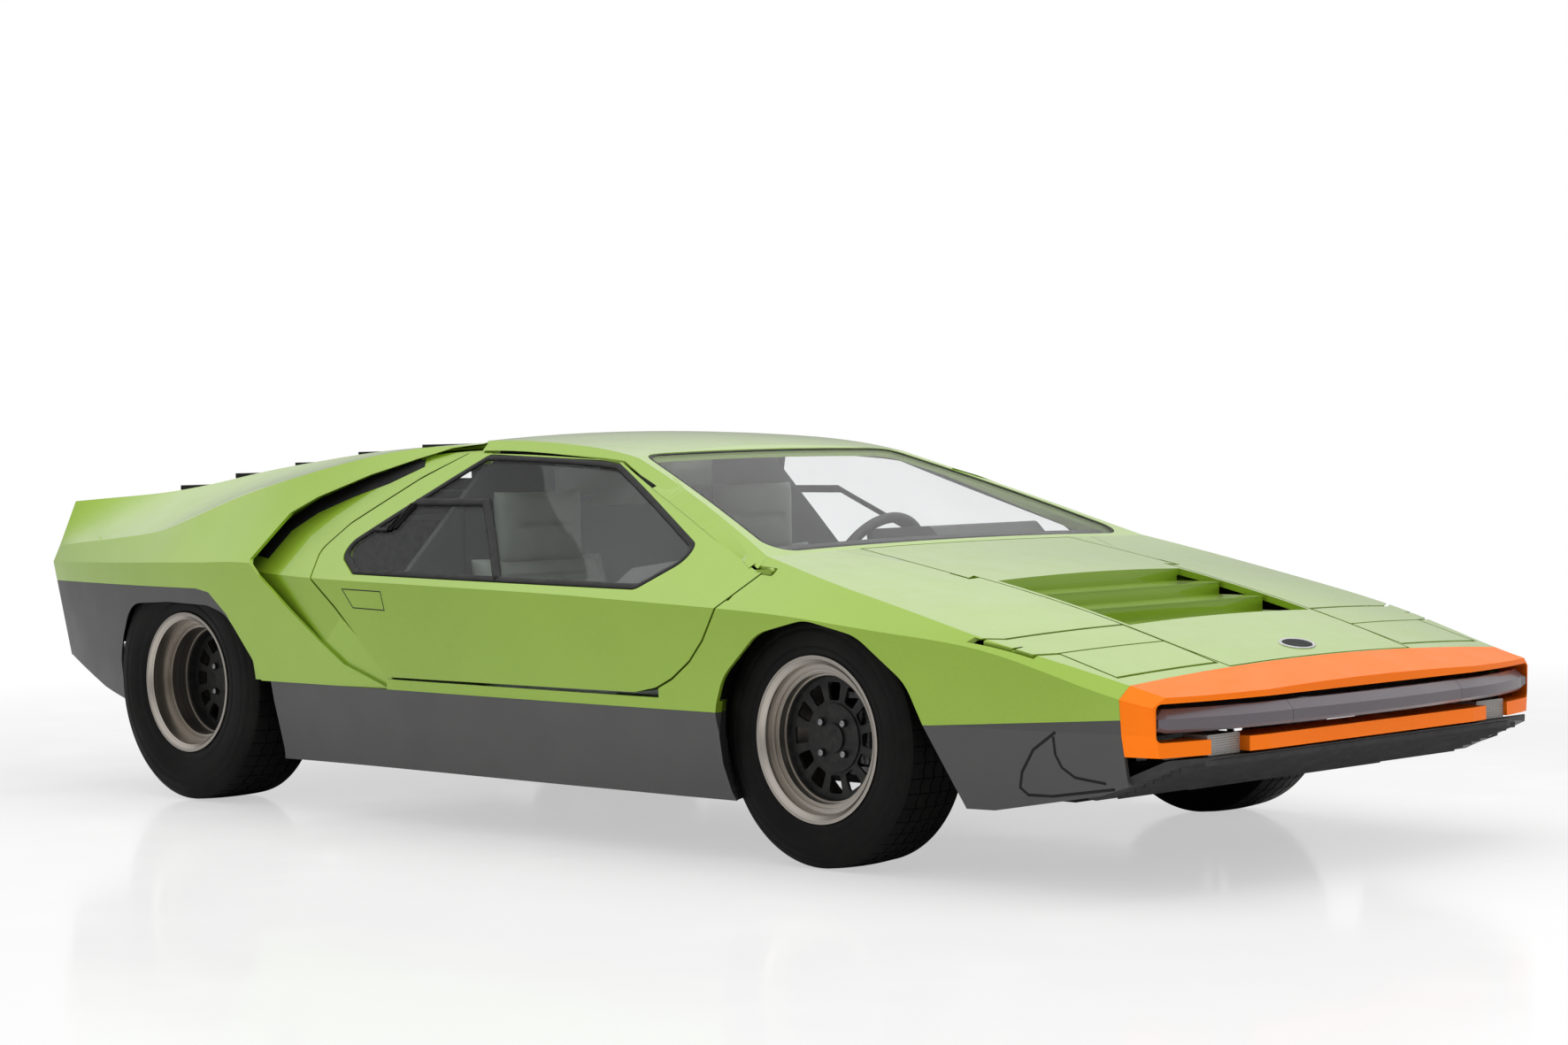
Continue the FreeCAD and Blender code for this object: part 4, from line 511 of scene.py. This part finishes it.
def outline_of(name, way):
    """The closed edge of the outer face of a thin pane, as points in order."""
    way = Vector(way).normalized()
    mesh = nodes[name].data
    shape = bmesh.new()
    shape.from_mesh(mesh)
    bmesh.ops.remove_doubles(shape, verts=shape.verts, dist=WELD)
    shape.normal_update()
    outer = {face.index for face in shape.faces if face.normal.dot(way) > FACES_OUT}
    neighbours = {}
    for edge in shape.edges:
        inside = [face for face in edge.link_faces if face.index in outer]
        if len(inside) == 1:
            a, b = edge.verts
            neighbours.setdefault(a.index, []).append(b.index)
            neighbours.setdefault(b.index, []).append(a.index)
    shape.verts.ensure_lookup_table()
    places = {index: shape.verts[index].co.copy() for index in neighbours}
    shape.free()
    loops = []
    left = set(places)
    while left:
        start = left.pop()
        loop = [start]
        while True:
            onward = [index for index in neighbours[loop[-1]] if index in left]
            if not onward:
                break
            left.discard(onward[0])
            loop.append(onward[0])
        loops.append([places[index] for index in loop])
    best = max(loops, key=lambda loop: sum((a - b).length for a, b in zip(loop, loop[1:] + loop[:1])))
    spaced = [best[0]]
    for point in best[1:]:
        if (point - spaced[-1]).length > OUTLINE_STEP:
            spaced.append(point)
    centre = sum(spaced, Vector()) / len(spaced)
    area = sum((a - centre).cross(b - centre).dot(way) for a, b in zip(spaced, spaced[1:] + spaced[:1]))
    return spaced if area > 0 else spaced[::-1]


def cal(x, z):
    """A place given from the front axle, moved to the row frame."""
    return x + FRONT_AXLE_X, z


# Rubber round the side windows, quarter panes and the edge of the windscreen
SEAL_WIDTH = 0.017
SEAL_HEIGHT = 0.0035
QUARTER_FRAME = [cal(-1.640, 0.813), cal(-1.291, 0.814), cal(-1.025, 0.624)]
QUARTER_Y = 0.8
QUARTER_WIDTH = 0.019
QUARTER_HEIGHT = 0.005
QUARTER_STEP = 0.015
SCREEN_WAY = (0.45, 0, 1)
SCREEN_SEAL_WIDTH = 0.010
SCREEN_SEAL_HEIGHT = 0.0016
SCREEN_STEP = 0.03

for side, sign in SIDES:
    pane = "door_glass_" + side
    out = (0, sign, 0.35)
    edge = outline_of(pane, out)
    tree = surface_of(pane)
    door = "door_" + side
    ribbon("window_seal_" + side, tree, edge, out, SEAL_WIDTH, SEAL_HEIGHT, seal_rubber, door,
           closed=True, shift=SEAL_WIDTH / 2)
    bar = [(x, sign * QUARTER_Y, z) for x, z in QUARTER_FRAME]
    ribbon("quarter_frame_" + side, tree, bar, (0, sign, 0), QUARTER_WIDTH, QUARTER_HEIGHT, seal_rubber,
           door, step=QUARTER_STEP)

tree = surface_of("windscreen")
edge = outline_of("windscreen", SCREEN_WAY)
ribbon("screen_seal", tree, edge, SCREEN_WAY, SCREEN_SEAL_WIDTH, SCREEN_SEAL_HEIGHT, seal_rubber, "body",
       closed=True, step=SCREEN_STEP, shift=SCREEN_SEAL_WIDTH / 2)


# Tyres with a zigzag tread and plain ringed sidewalls
TREAD_PERIODS = 50
TREAD_SAMPLES = (0.0, 0.25, 0.47, 0.485, 0.515, 0.53, 0.75)
TREAD_SHARE = 0.80
CROWN_DROP = 0.0035
ZIGZAG = 0.0032
GROOVE_HALF = 0.0024
GROOVE_DEPTH = 0.0055
GROOVE_SLOPE = 0.0006
SIPE_DEPTH = 0.0030
SIPE_SPAN = (0.48, 0.52)
# The zigzag dies out within this share of the tread's half width, down to the least
SHOULDER_SHARE = 1 / 8
LEAST_ZIGZAG = 0.02
SMOOTH_BELOW = math.radians(40)
# Sidewall from the bead outwards: (share of the half width, share of the height over the bead)
SIDEWALL = (
    (0.80, 0.00), (0.86, 0.04), (0.925, 0.12), (0.955, 0.20), (0.975, 0.27), (0.968, 0.285), (0.972, 0.30),
    (0.990, 0.38), (0.998, 0.46), (1.0, 0.54), (0.998, 0.62), (0.990, 0.635), (0.994, 0.65), (0.985, 0.72),
    (0.965, 0.79), (0.955, 0.80), (0.955, 0.82), (0.925, 0.885), (0.885, 0.935), (0.845, 0.968),
)
GROOVES = (-0.60, -0.20, 0.20, 0.60)


def zigzag(turn):
    """A triangle wave of period 1 between -1 and 1."""
    return 4 * abs(turn - round(turn)) - 1


def tyre(name, x, y, radius, width, body, node):
    """One tyre, turned about its axle from a section whose grooves run in zigzags."""
    half = width / 2
    tread = half * TREAD_SHARE
    rise = radius - BEAD_RADIUS
    columns = [(-w * half, BEAD_RADIUS + r * rise, 0, 0) for w, r in SIDEWALL]
    ribs = [-1.0]
    for groove in GROOVES:
        ribs += [groove - GROOVE_HALF / tread, groove + GROOVE_HALF / tread]
    ribs.append(1.0)
    for start, stop in zip(ribs[::2], ribs[1::2]):
        for share in (0.0, 0.5, 1.0):
            spot = (start + (stop - start) * share) * tread
            columns.append((spot, radius - CROWN_DROP * (spot / tread) ** 2, 1, 1))
        if stop < 1.0:
            floor = radius - GROOVE_DEPTH - CROWN_DROP * stop ** 2
            columns.append((stop * tread + GROOVE_SLOPE, floor, 1, 0))
            columns.append((stop * tread + 2 * GROOVE_HALF - GROOVE_SLOPE, floor, 1, 0))
    columns += [(w * half, BEAD_RADIUS + r * rise, 0, 0) for w, r in reversed(SIDEWALL)]
    points = []
    for period in range(TREAD_PERIODS):
        for sample in TREAD_SAMPLES:
            turn = (period + sample) / TREAD_PERIODS * 2 * math.pi
            slide = ZIGZAG * zigzag(sample)
            sipe = SIPE_DEPTH if SIPE_SPAN[0] < sample < SIPE_SPAN[1] else 0.0
            for across, out, moves, cut in columns:
                near = moves * min(1.0, (1 - abs(across) / tread) / SHOULDER_SHARE + LEAST_ZIGZAG)
                far = out - sipe * cut
                points.append((
                    x + far * math.sin(turn),
                    y + across + slide * near,
                    radius + far * math.cos(turn),
                ))
    rows = TREAD_PERIODS * len(TREAD_SAMPLES)
    faces = grid_faces(rows, len(columns), close_rows=True, close_columns=True)
    made = piece(name, points, faces, rubber, body)
    made.data.set_sharp_from_angle(angle=SMOOTH_BELOW)
    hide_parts(node)


for side, sign in SIDES:
    tyre("tyre_front_" + side, FRONT_AXLE_X, sign * FRONT_TRACK_HALF, FRONT_AXLE_Z, FRONT_TYRE_WIDTH,
         "front_wheel_" + side, "front_tyre_" + side)
    tyre("tyre_rear_" + side, REAR_AXLE_X, sign * REAR_TRACK_HALF, REAR_AXLE_Z, REAR_TYRE_WIDTH,
         "rear_wheel_" + side, "rear_tyre_" + side)


# Seats: crowned pads with sewn cross channels, on a dark shell
PAD_COLUMNS = 28
ROWS_PER_CHANNEL = 8
MORE_ROWS = 12
CROWDING = 1.25
EDGE_POWER = 5.0
HEAD_POWER = 7.0
SWELL_POWER = 0.42
BACK_SHARE = 0.34
FRONT_SHARE = 0.50
CROWN_SHARE = 0.22
# Side rolls, the flat middle and the seam between them, as shares of the half width
ROLL_PLACE = 0.80
ROLL_SPAN = 0.14
MIDDLE_EDGE = 0.62
MIDDLE_STEEPNESS = 40
SEAM_PLACE = 0.63
SEAM_SPAN = 0.018
SEAM_DEPTH = 0.010
CHANNEL_DEPTH = 0.012
CHANNEL_SPAN = 0.10
CHANNEL_END = 0.3
# How far the pad's edges are drawn in
PULL_ENDS = 0.035
PULL_SIDES = 0.02
PULL_LENGTH = 0.03


def bell(value, middle, span):
    """A bump of height 1 round the middle, which dies out within about two spans."""
    return math.exp(-((value - middle) / span) ** 2)


def crowded(k, count):
    """The k-th of count steps from -1 to 1, closer together near both ends."""
    share = -1 + 2 * k / count
    return math.copysign(1 - (1 - abs(share)) ** CROWDING, share)


def pad_height(u, v, front, thick, channels, bolster, power):
    """How far the pad's surface stands out at a place, with u and v from -1 to 1."""
    edge = (1 - abs(u) ** power) * (1 - abs(v) ** power)
    swell = max(0.0, edge) ** SWELL_POWER
    if not front:
        return -thick * BACK_SHARE * swell
    lift = thick * FRONT_SHARE * swell * (1 + CROWN_SHARE * (1 - u * u) * (1 - v * v))
    lift += bolster * bell(abs(u), ROLL_PLACE, ROLL_SPAN) * swell
    middle = 1 / (1 + math.exp((abs(u) - MIDDLE_EDGE) * MIDDLE_STEEPNESS))
    phase = (v + 1) / 2 * (channels + 1)
    if CHANNEL_END < phase < channels + 1 - CHANNEL_END:
        lift -= CHANNEL_DEPTH * middle * bell(abs(phase - round(phase)), 0, CHANNEL_SPAN) * swell
    if bolster:
        lift -= SEAM_DEPTH * bell(abs(u), SEAM_PLACE, SEAM_SPAN) * swell
    return lift


def pad(name, centre, up, out, width, length, thick, channels, bolster, power):
    """A closed cushion across the car with a crowned front, drawn-in sides and cross channels.

    up and out are its own axes; bolster is how far the side rolls stand proud, and a higher power
    makes squarer edges.
    """
    across, up, out = Vector((0, 1, 0)), Vector(up).normalized(), Vector(out).normalized()
    wide = PAD_COLUMNS
    tall = ROWS_PER_CHANNEL * (channels + 1) + MORE_ROWS
    points = []
    for front in (True, False):
        for i in range(tall + 1):
            v = crowded(i, tall)
            for j in range(wide + 1):
                u = crowded(j, wide)
                pull_u = 1 - PULL_ENDS * (1 - abs(u)) * v * v - PULL_SIDES * (1 - v * v) * abs(u)
                pull_v = 1 - PULL_LENGTH * (1 - u * u) * abs(v)
                spot = Vector(centre) + across * (u * pull_u * width / 2) + up * (v * pull_v * length / 2)
                points.append(spot + out * pad_height(u, v, front, thick, channels, bolster, power))
    columns = wide + 1
    rows = tall + 1
    sheet = grid_faces(rows, columns)
    back = rows * columns
    faces = sheet + [tuple(back + k for k in face[::-1]) for face in sheet]
    made = piece(name, points, faces, seat_leather, "body")
    modify(made, "SUBSURF", levels=1, render_levels=1)
    return made


SEAT_Y = 0.3916
BACK_LEAN = math.radians(12)
BASE_TILT = math.radians(8)
SHELL_HALF = 0.215
SHELL_ROUNDING = 0.012
SHELL_EDGE = math.radians(25)
SHELL_OUTLINE = (
    (-0.340, 0.262),
    (-0.362, 0.420),
    (-0.384, 0.640),
    (-0.384, 0.810),
    (-0.372, 0.820),
    (-0.391, 0.812),
    (-0.392, 0.600),
    (-0.392, 0.165),
    (0.040, 0.165),
    (0.058, 0.262),
)


def shell(name, low_y, high_y):
    """The seat's rounded shell, from its side outline of (x, z) places between two widths."""
    points = [(x, y, z) for y in (low_y, high_y) for x, z in SHELL_OUTLINE]
    count = len(SHELL_OUTLINE)
    faces = [tuple(range(count)), tuple(range(2 * count - 1, count - 1, -1))]
    faces += [(i, (i + 1) % count, count + (i + 1) % count, count + i) for i in range(count)]
    made = piece(name, points, faces, cabin_trim, "body", smooth=False)
    modify(made, "BEVEL", width=SHELL_ROUNDING, segments=3, limit_method="ANGLE", angle_limit=SHELL_EDGE)
    for face in made.data.polygons:
        face.use_smooth = True


BACK_UP = (-math.sin(BACK_LEAN), 0, math.cos(BACK_LEAN))
BACK_OUT = (math.cos(BACK_LEAN), 0, math.sin(BACK_LEAN))
BASE_UP = (math.cos(BASE_TILT), 0, math.sin(BASE_TILT))
BASE_OUT = (-math.sin(BASE_TILT), 0, math.cos(BASE_TILT))
# (name, centre's x and z, up, out, width, length, thickness, channels, rolls' height, edge's power)
PADS = (
    ("seat_base_", -0.105, 0.300, BASE_UP, BASE_OUT, 0.445, 0.340, 0.090, 4, 0.018, EDGE_POWER),
    ("seat_back_", -0.322, 0.470, BACK_UP, BACK_OUT, 0.445, 0.400, 0.075, 6, 0.020, EDGE_POWER),
    ("seat_head_", -0.357, 0.742, (0, 0, 1), (1, 0, 0), 0.290, 0.190, 0.060, 1, 0.0, HEAD_POWER),
)

for side, sign in SIDES:
    y = sign * SEAT_Y
    for name, x, z, *measures in PADS:
        pad(name + side, (x, y, z), *measures)
    shell("seat_shell_" + side, y - SHELL_HALF, y + SHELL_HALF)
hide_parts("seats")


# Small round and oval pieces: every disc has this many sides
DISC_SIDES = 48


def disc(name, centre, axes, radii, thick, finish, body, rings):
    """A domed disc; axes are across, along and out, rings are (share of radius, share of thickness)."""
    across, along, out = (Vector(axis).normalized() for axis in axes)
    wide, long = radii
    middle = Vector(centre)
    points = []
    for share, high in rings:
        for k in range(DISC_SIDES):
            turn = 2 * math.pi * k / DISC_SIDES
            points.append(
                middle
                + across * wide * share * math.cos(turn)
                + along * long * share * math.sin(turn)
                + out * high * thick
            )
    faces = grid_faces(len(rings), DISC_SIDES, close_columns=True)
    points += [middle + out * rings[0][1] * thick, middle + out * rings[-1][1] * thick]
    first, last = len(points) - 2, len(points) - 1
    end = (len(rings) - 1) * DISC_SIDES
    for k in range(DISC_SIDES):
        after = (k + 1) % DISC_SIDES
        faces.append((first, k, after))
        faces.append((last, end + after, end + k))
    piece(name, points, faces, finish, body)


# Blank oval disc on the bonnet
EMBLEM_PLACE = (FRONT_AXLE_X + 0.759, 0, 0.5)
EMBLEM_THICKNESS = 0.004
EMBLEM_RIM_RADII = (0.054, 0.034)
EMBLEM_RADII = (0.047, 0.029)
EMBLEM_RIM = ((0.98, -0.5), (1.0, 0.1), (0.99, 0.6), (0.95, 0.85), (0.90, 0.80), (0.88, 0.6))
EMBLEM_FACE = ((0.98, -0.5), (1.0, 0.5), (0.9, 0.72), (0.6, 0.85), (0.25, 0.9))

emblem_centre, emblem_out = on_surface(surface_of("bonnet"), EMBLEM_PLACE, (0, 0, 1))
emblem_axes = ((0, 1, 0), Vector((0, 1, 0)).cross(emblem_out), emblem_out)
disc("bonnet_disc_rim", emblem_centre, emblem_axes, EMBLEM_RIM_RADII, EMBLEM_THICKNESS, chrome, "bonnet",
     EMBLEM_RIM)
disc("bonnet_disc", emblem_centre, emblem_axes, EMBLEM_RADII, EMBLEM_THICKNESS, black_trim, "bonnet",
     EMBLEM_FACE)


# Domed caps on the wheel nuts, and a tyre valve beside each slotted disc; lengths in metres
NUT_COUNT = 4
NUT_CIRCLE = 0.049
NUT_CAP_RADIUS = 0.0084
NUT_CAP_HEIGHT = 0.0045
VALVE_CIRCLE = 0.152
VALVE_TURN = math.radians(235)
VALVE_RADIUS = 0.0045
VALVE_LENGTH = 0.026
DOME = ((0.98, -0.3), (1.0, 0.2), (0.85, 0.6), (0.5, 0.9), (0.2, 1.0))
STEM = ((0.9, -0.2), (1.0, 0.1), (1.0, 0.9), (0.8, 1.0))
# (end, axle's x and z, y of the nuts' ends, y of the valve's foot)
WHEELS = (
    ("front", FRONT_AXLE_X, FRONT_AXLE_Z, 0.720, 0.712),
    ("rear", REAR_AXLE_X, REAR_AXLE_Z, 0.717, 0.709),
)
for end, axle_x, axle_z, nut_y, dish_y in WHEELS:
    for side, sign in SIDES:
        wheel = end + "_wheel_" + side
        axes = ((1, 0, 0), (0, 0, 1), (0, sign, 0))
        for index in range(NUT_COUNT):
            turn = 2 * math.pi / NUT_COUNT * (index + 0.5)
            x = axle_x + NUT_CIRCLE * math.cos(turn)
            z = axle_z + NUT_CIRCLE * math.sin(turn)
            disc("nut_cap_%s_%s_%d" % (end, side, index), (x, sign * nut_y, z), axes,
                 (NUT_CAP_RADIUS, NUT_CAP_RADIUS), NUT_CAP_HEIGHT, steel, wheel, DOME)
        x = axle_x + VALVE_CIRCLE * math.cos(VALVE_TURN)
        z = axle_z + VALVE_CIRCLE * math.sin(VALVE_TURN)
        disc("valve_%s_%s" % (end, side), (x, sign * dish_y, z), axes,
             (VALVE_RADIUS, VALVE_RADIUS), VALVE_LENGTH, seal_rubber, wheel, STEM)


# Flush door handles: a thin dark line round a flap of the door's own colour
HANDLE = [cal(-1.619, 0.596), cal(-1.459, 0.593), cal(-1.446, 0.546), cal(-1.576, 0.549)]
HANDLE_Y = 0.9
HANDLE_LINE_WIDTH = 0.0030
HANDLE_LINE_HEIGHT = 0.0004
FINE_STEP = 0.01
for side, sign in SIDES:
    tree = surface_of("door_" + side)
    corners = [(x, sign * HANDLE_Y, z) for x, z in HANDLE]
    ribbon("handle_line_" + side, tree, corners[::sign], (0, sign, 0), HANDLE_LINE_WIDTH, HANDLE_LINE_HEIGHT,
           black_trim, "door_" + side, closed=True, step=FINE_STEP)


# Painted shade: a black strip along the V-shaped intake, under the sail, standing in for the shadow deep
# inside it
INTAKE = (
    (-0.9550, 0.8150, 0.6650),
    (-0.9384, 0.7501, 0.7371),
    (-0.8801, 0.7054, 0.7832),
    (-0.7820, 0.6620, 0.8247),
    (-0.6784, 0.6242, 0.8591),
    (-0.5875, 0.5774, 0.9021),
)
INTAKE_WIDTH = 0.060
INTAKE_HEIGHT = 0.0008
for side, sign in SIDES:
    points = [(x, sign * y, z) for x, y, z in INTAKE]
    # The black strip is painted shade where the intake's recess lies in shadow
    ribbon("intake_painted_shade_" + side, surface_of("body_side_" + side), points, (0, sign, 0.5), INTAKE_WIDTH,
           INTAKE_HEIGHT, black_trim, "body", shift=-sign * INTAKE_WIDTH / 2)


# Thin lip of the door's colour that covers its gap along the windscreen pillar
PILLAR = (
    (0.2900, 0.5130, 0.8770),
    (0.5071, 0.5964, 0.7914),
    (0.7046, 0.6720, 0.7131),
    (0.7627, 0.7005, 0.6866),
    (0.7800, 0.7080, 0.6795),
)
LIP_UP = Vector((0.38, 0, 0.92)).normalized()
LIP_ROOF = 0.0015
LIP_DOOR = 0.018
LIP_LIFT = 0.0016
LIP_CLEAR = 0.0014
LIP_STEP = 0.02
LIP_COLUMNS = 4
for side, sign in SIDES:
    way = (0, sign, 0.6)
    roof_tree = surface_of("roof_panel")
    door_tree = surface_of("door_" + side)
    places = []
    line = divided([Vector((x, sign * y, z)) for x, y, z in PILLAR], LIP_STEP)
    for point in line:
        high, high_normal = on_surface(roof_tree, point + LIP_UP * LIP_ROOF, way)
        low, low_normal = on_surface(door_tree, point - LIP_UP * LIP_DOOR, way)
        places += [
            high + high_normal * LIP_CLEAR,
            high + high_normal * (LIP_CLEAR + LIP_LIFT / 2),
            low + low_normal * LIP_LIFT,
            low - low_normal * LIP_LIFT / 2,
        ]
    faces = grid_faces(len(line), LIP_COLUMNS, close_columns=True)
    last = (len(line) - 1) * LIP_COLUMNS
    faces += [(0, 1, 2, 3), (last + 3, last + 2, last + 1, last)]
    piece("pillar_lip_" + side, places, faces, body_paint, "door_" + side, smooth=False)


# Dark lines of the loop at each end of the front valance, as (x, z) places
VALANCE_Y = 0.75
VALANCE_LINE_WIDTH = 0.0066
VALANCE_LINE_HEIGHT = 0.0006
VALANCE_OUTER = (
    (1.7035, 0.3449),
    (1.6418, 0.3040),
    (1.6056, 0.2543),
    (1.5952, 0.2201),
    (1.6136, 0.2048),
    (1.6741, 0.2053),
    (1.8272, 0.2279),
)
VALANCE_INNER = (
    (1.6964, 0.3351),
    (1.6953, 0.2970),
    (1.7067, 0.2691),
    (1.7355, 0.2487),
    (1.8082, 0.2392),
)
tree = surface_of("front_valance")
for side, sign in SIDES:
    for name, line in (("outer", VALANCE_OUTER), ("inner", VALANCE_INNER)):
        points = [(x, sign * VALANCE_Y, z) for x, z in line]
        ribbon("valance_" + name + "_" + side, tree, points, (0, sign, 0), VALANCE_LINE_WIDTH,
               VALANCE_LINE_HEIGHT, black_trim, "body", step=FINE_STEP)


# Camera at the photograph's view
CAMERA_PLACE = (5.269 + FRONT_AXLE_X, -6.078, 1.014)
CAMERA_YAW = math.radians(135.27)
CAMERA_PITCH = math.radians(-1.78)
CAMERA_ROLL = math.radians(-0.95)
FOCAL_PIXELS = 3783
IMAGE_WIDTH = 1772
SENSOR = 36.0
CLIP_START = 0.1
CLIP_END = 400


def make_camera():
    """The photograph's camera, from its place, its three angles and its focal length in pixels."""
    data = bpy.data.cameras.new("camera")
    data.sensor_width = SENSOR
    data.lens = FOCAL_PIXELS / IMAGE_WIDTH * SENSOR
    data.clip_start = CLIP_START
    data.clip_end = CLIP_END
    camera = bpy.data.objects.new("camera", data)
    bpy.context.scene.collection.objects.link(camera)
    level = math.cos(CAMERA_PITCH)
    ahead = Vector((math.cos(CAMERA_YAW) * level, math.sin(CAMERA_YAW) * level, math.sin(CAMERA_PITCH)))
    right = Vector((math.sin(CAMERA_YAW), -math.cos(CAMERA_YAW), 0))
    above = right.cross(ahead)
    turned_right = math.cos(CAMERA_ROLL) * right + math.sin(CAMERA_ROLL) * above
    turned_above = -math.sin(CAMERA_ROLL) * right + math.cos(CAMERA_ROLL) * above
    matrix = camera.matrix_world.copy()
    for column, axis in enumerate((turned_right, turned_above, -ahead)):
        for row in range(3):
            matrix[row][column] = axis[row]
    for row in range(3):
        matrix[row][3] = CAMERA_PLACE[row]
    camera.matrix_world = matrix
    bpy.context.scene.camera = camera


make_camera()


# Studio: pale glossy floor that fades to white away from the car, white surroundings, a soft lamp overhead
FLOOR_HALF = 90.0
FADE_START = 2.6
FADE_END = 5.5
FLOOR_SHADE = 0.90
FLOOR_GLOW = 0.52
WHITE = (1, 1, 1, 1)
HORIZON = 0.0
ZENITH = 0.55
HORIZON_LEVEL = 0.38
ZENITH_LEVEL = 1.15
LAMP_SIZE = (6.0, 2.6)
LAMP_ENERGY = 110
LAMP_PLACE = (0.3, 0.0, 3.6)


def make_floor():
    """A glossy floor that glows for the camera, more so further from the car."""
    mesh = bpy.data.meshes.new("studio_floor")
    half = FLOOR_HALF
    corners = [(-half, -half, 0), (half, -half, 0), (half, half, 0), (-half, half, 0)]
    mesh.from_pydata(corners, [], [(0, 1, 2, 3)])
    floor = bpy.data.objects.new("studio_floor", mesh)
    bpy.context.scene.collection.objects.link(floor)
    finish, tree, shader = material("studio_floor", (FLOOR_SHADE, FLOOR_SHADE, FLOOR_SHADE), 0.12)
    smear = spread(tree, grain(tree, 2.5, 5.0), WIDE, 0.07, 0.17)
    tree.links.new(smear, shader.inputs["Roughness"])
    reach = add(tree, "VectorMath", {0: place(tree)}, operation="LENGTH").outputs["Value"]
    far = spread(tree, reach, (FADE_START, FADE_END), FLOOR_GLOW, 1.0)
    glow = add(tree, "Emission", {"Color": WHITE, "Strength": 1.0})
    path = add(tree, "LightPath")
    seen = either(tree, path.outputs["Is Camera Ray"], path.outputs["Is Transmission Ray"])
    share = add(tree, "Math", {0: far, 1: seen}, operation="MULTIPLY").outputs["Value"]
    mix_surface(tree, share, shader.outputs["BSDF"], glow.outputs["Emission"])
    floor.data.materials.append(finish)


def make_lamp():
    """A wide soft lamp over the car, which doesn't show in its paint."""
    lamp = bpy.data.lights.new("overhead", "AREA")
    lamp.shape = "RECTANGLE"
    lamp.size, lamp.size_y = LAMP_SIZE
    lamp.energy = LAMP_ENERGY
    obj = bpy.data.objects.new("overhead", lamp)
    obj.location = LAMP_PLACE
    obj.visible_glossy = False
    bpy.context.scene.collection.objects.link(obj)


def make_surroundings():
    """A world that is white to the camera, and lights the car more from above than from the side."""
    world = bpy.data.worlds.new("studio")
    bpy.context.scene.world = world
    world.use_nodes = True
    tree = world.node_tree
    direction = add(tree, "TexCoord").outputs["Generated"]
    height = add(tree, "SeparateXYZ", {"Vector": direction}).outputs["Z"]
    levels = {
        "Value": height,
        "From Min": HORIZON,
        "From Max": ZENITH,
        "To Min": HORIZON_LEVEL,
        "To Max": ZENITH_LEVEL,
    }
    level = add(tree, "MapRange", levels, interpolation_type="SMOOTHSTEP").outputs["Result"]
    path = add(tree, "LightPath")
    seen = either(tree, path.outputs["Is Camera Ray"], path.outputs["Is Transmission Ray"])
    strength = add(tree, "Mix", {0: seen, 2: level, 3: 1.0}, data_type="FLOAT").outputs[0]
    background = tree.nodes["Background"]
    background.inputs["Color"].default_value = WHITE
    tree.links.new(strength, background.inputs["Strength"])


make_floor()
make_surroundings()
make_lamp()

view = bpy.context.scene.view_settings
view.view_transform = "Standard"
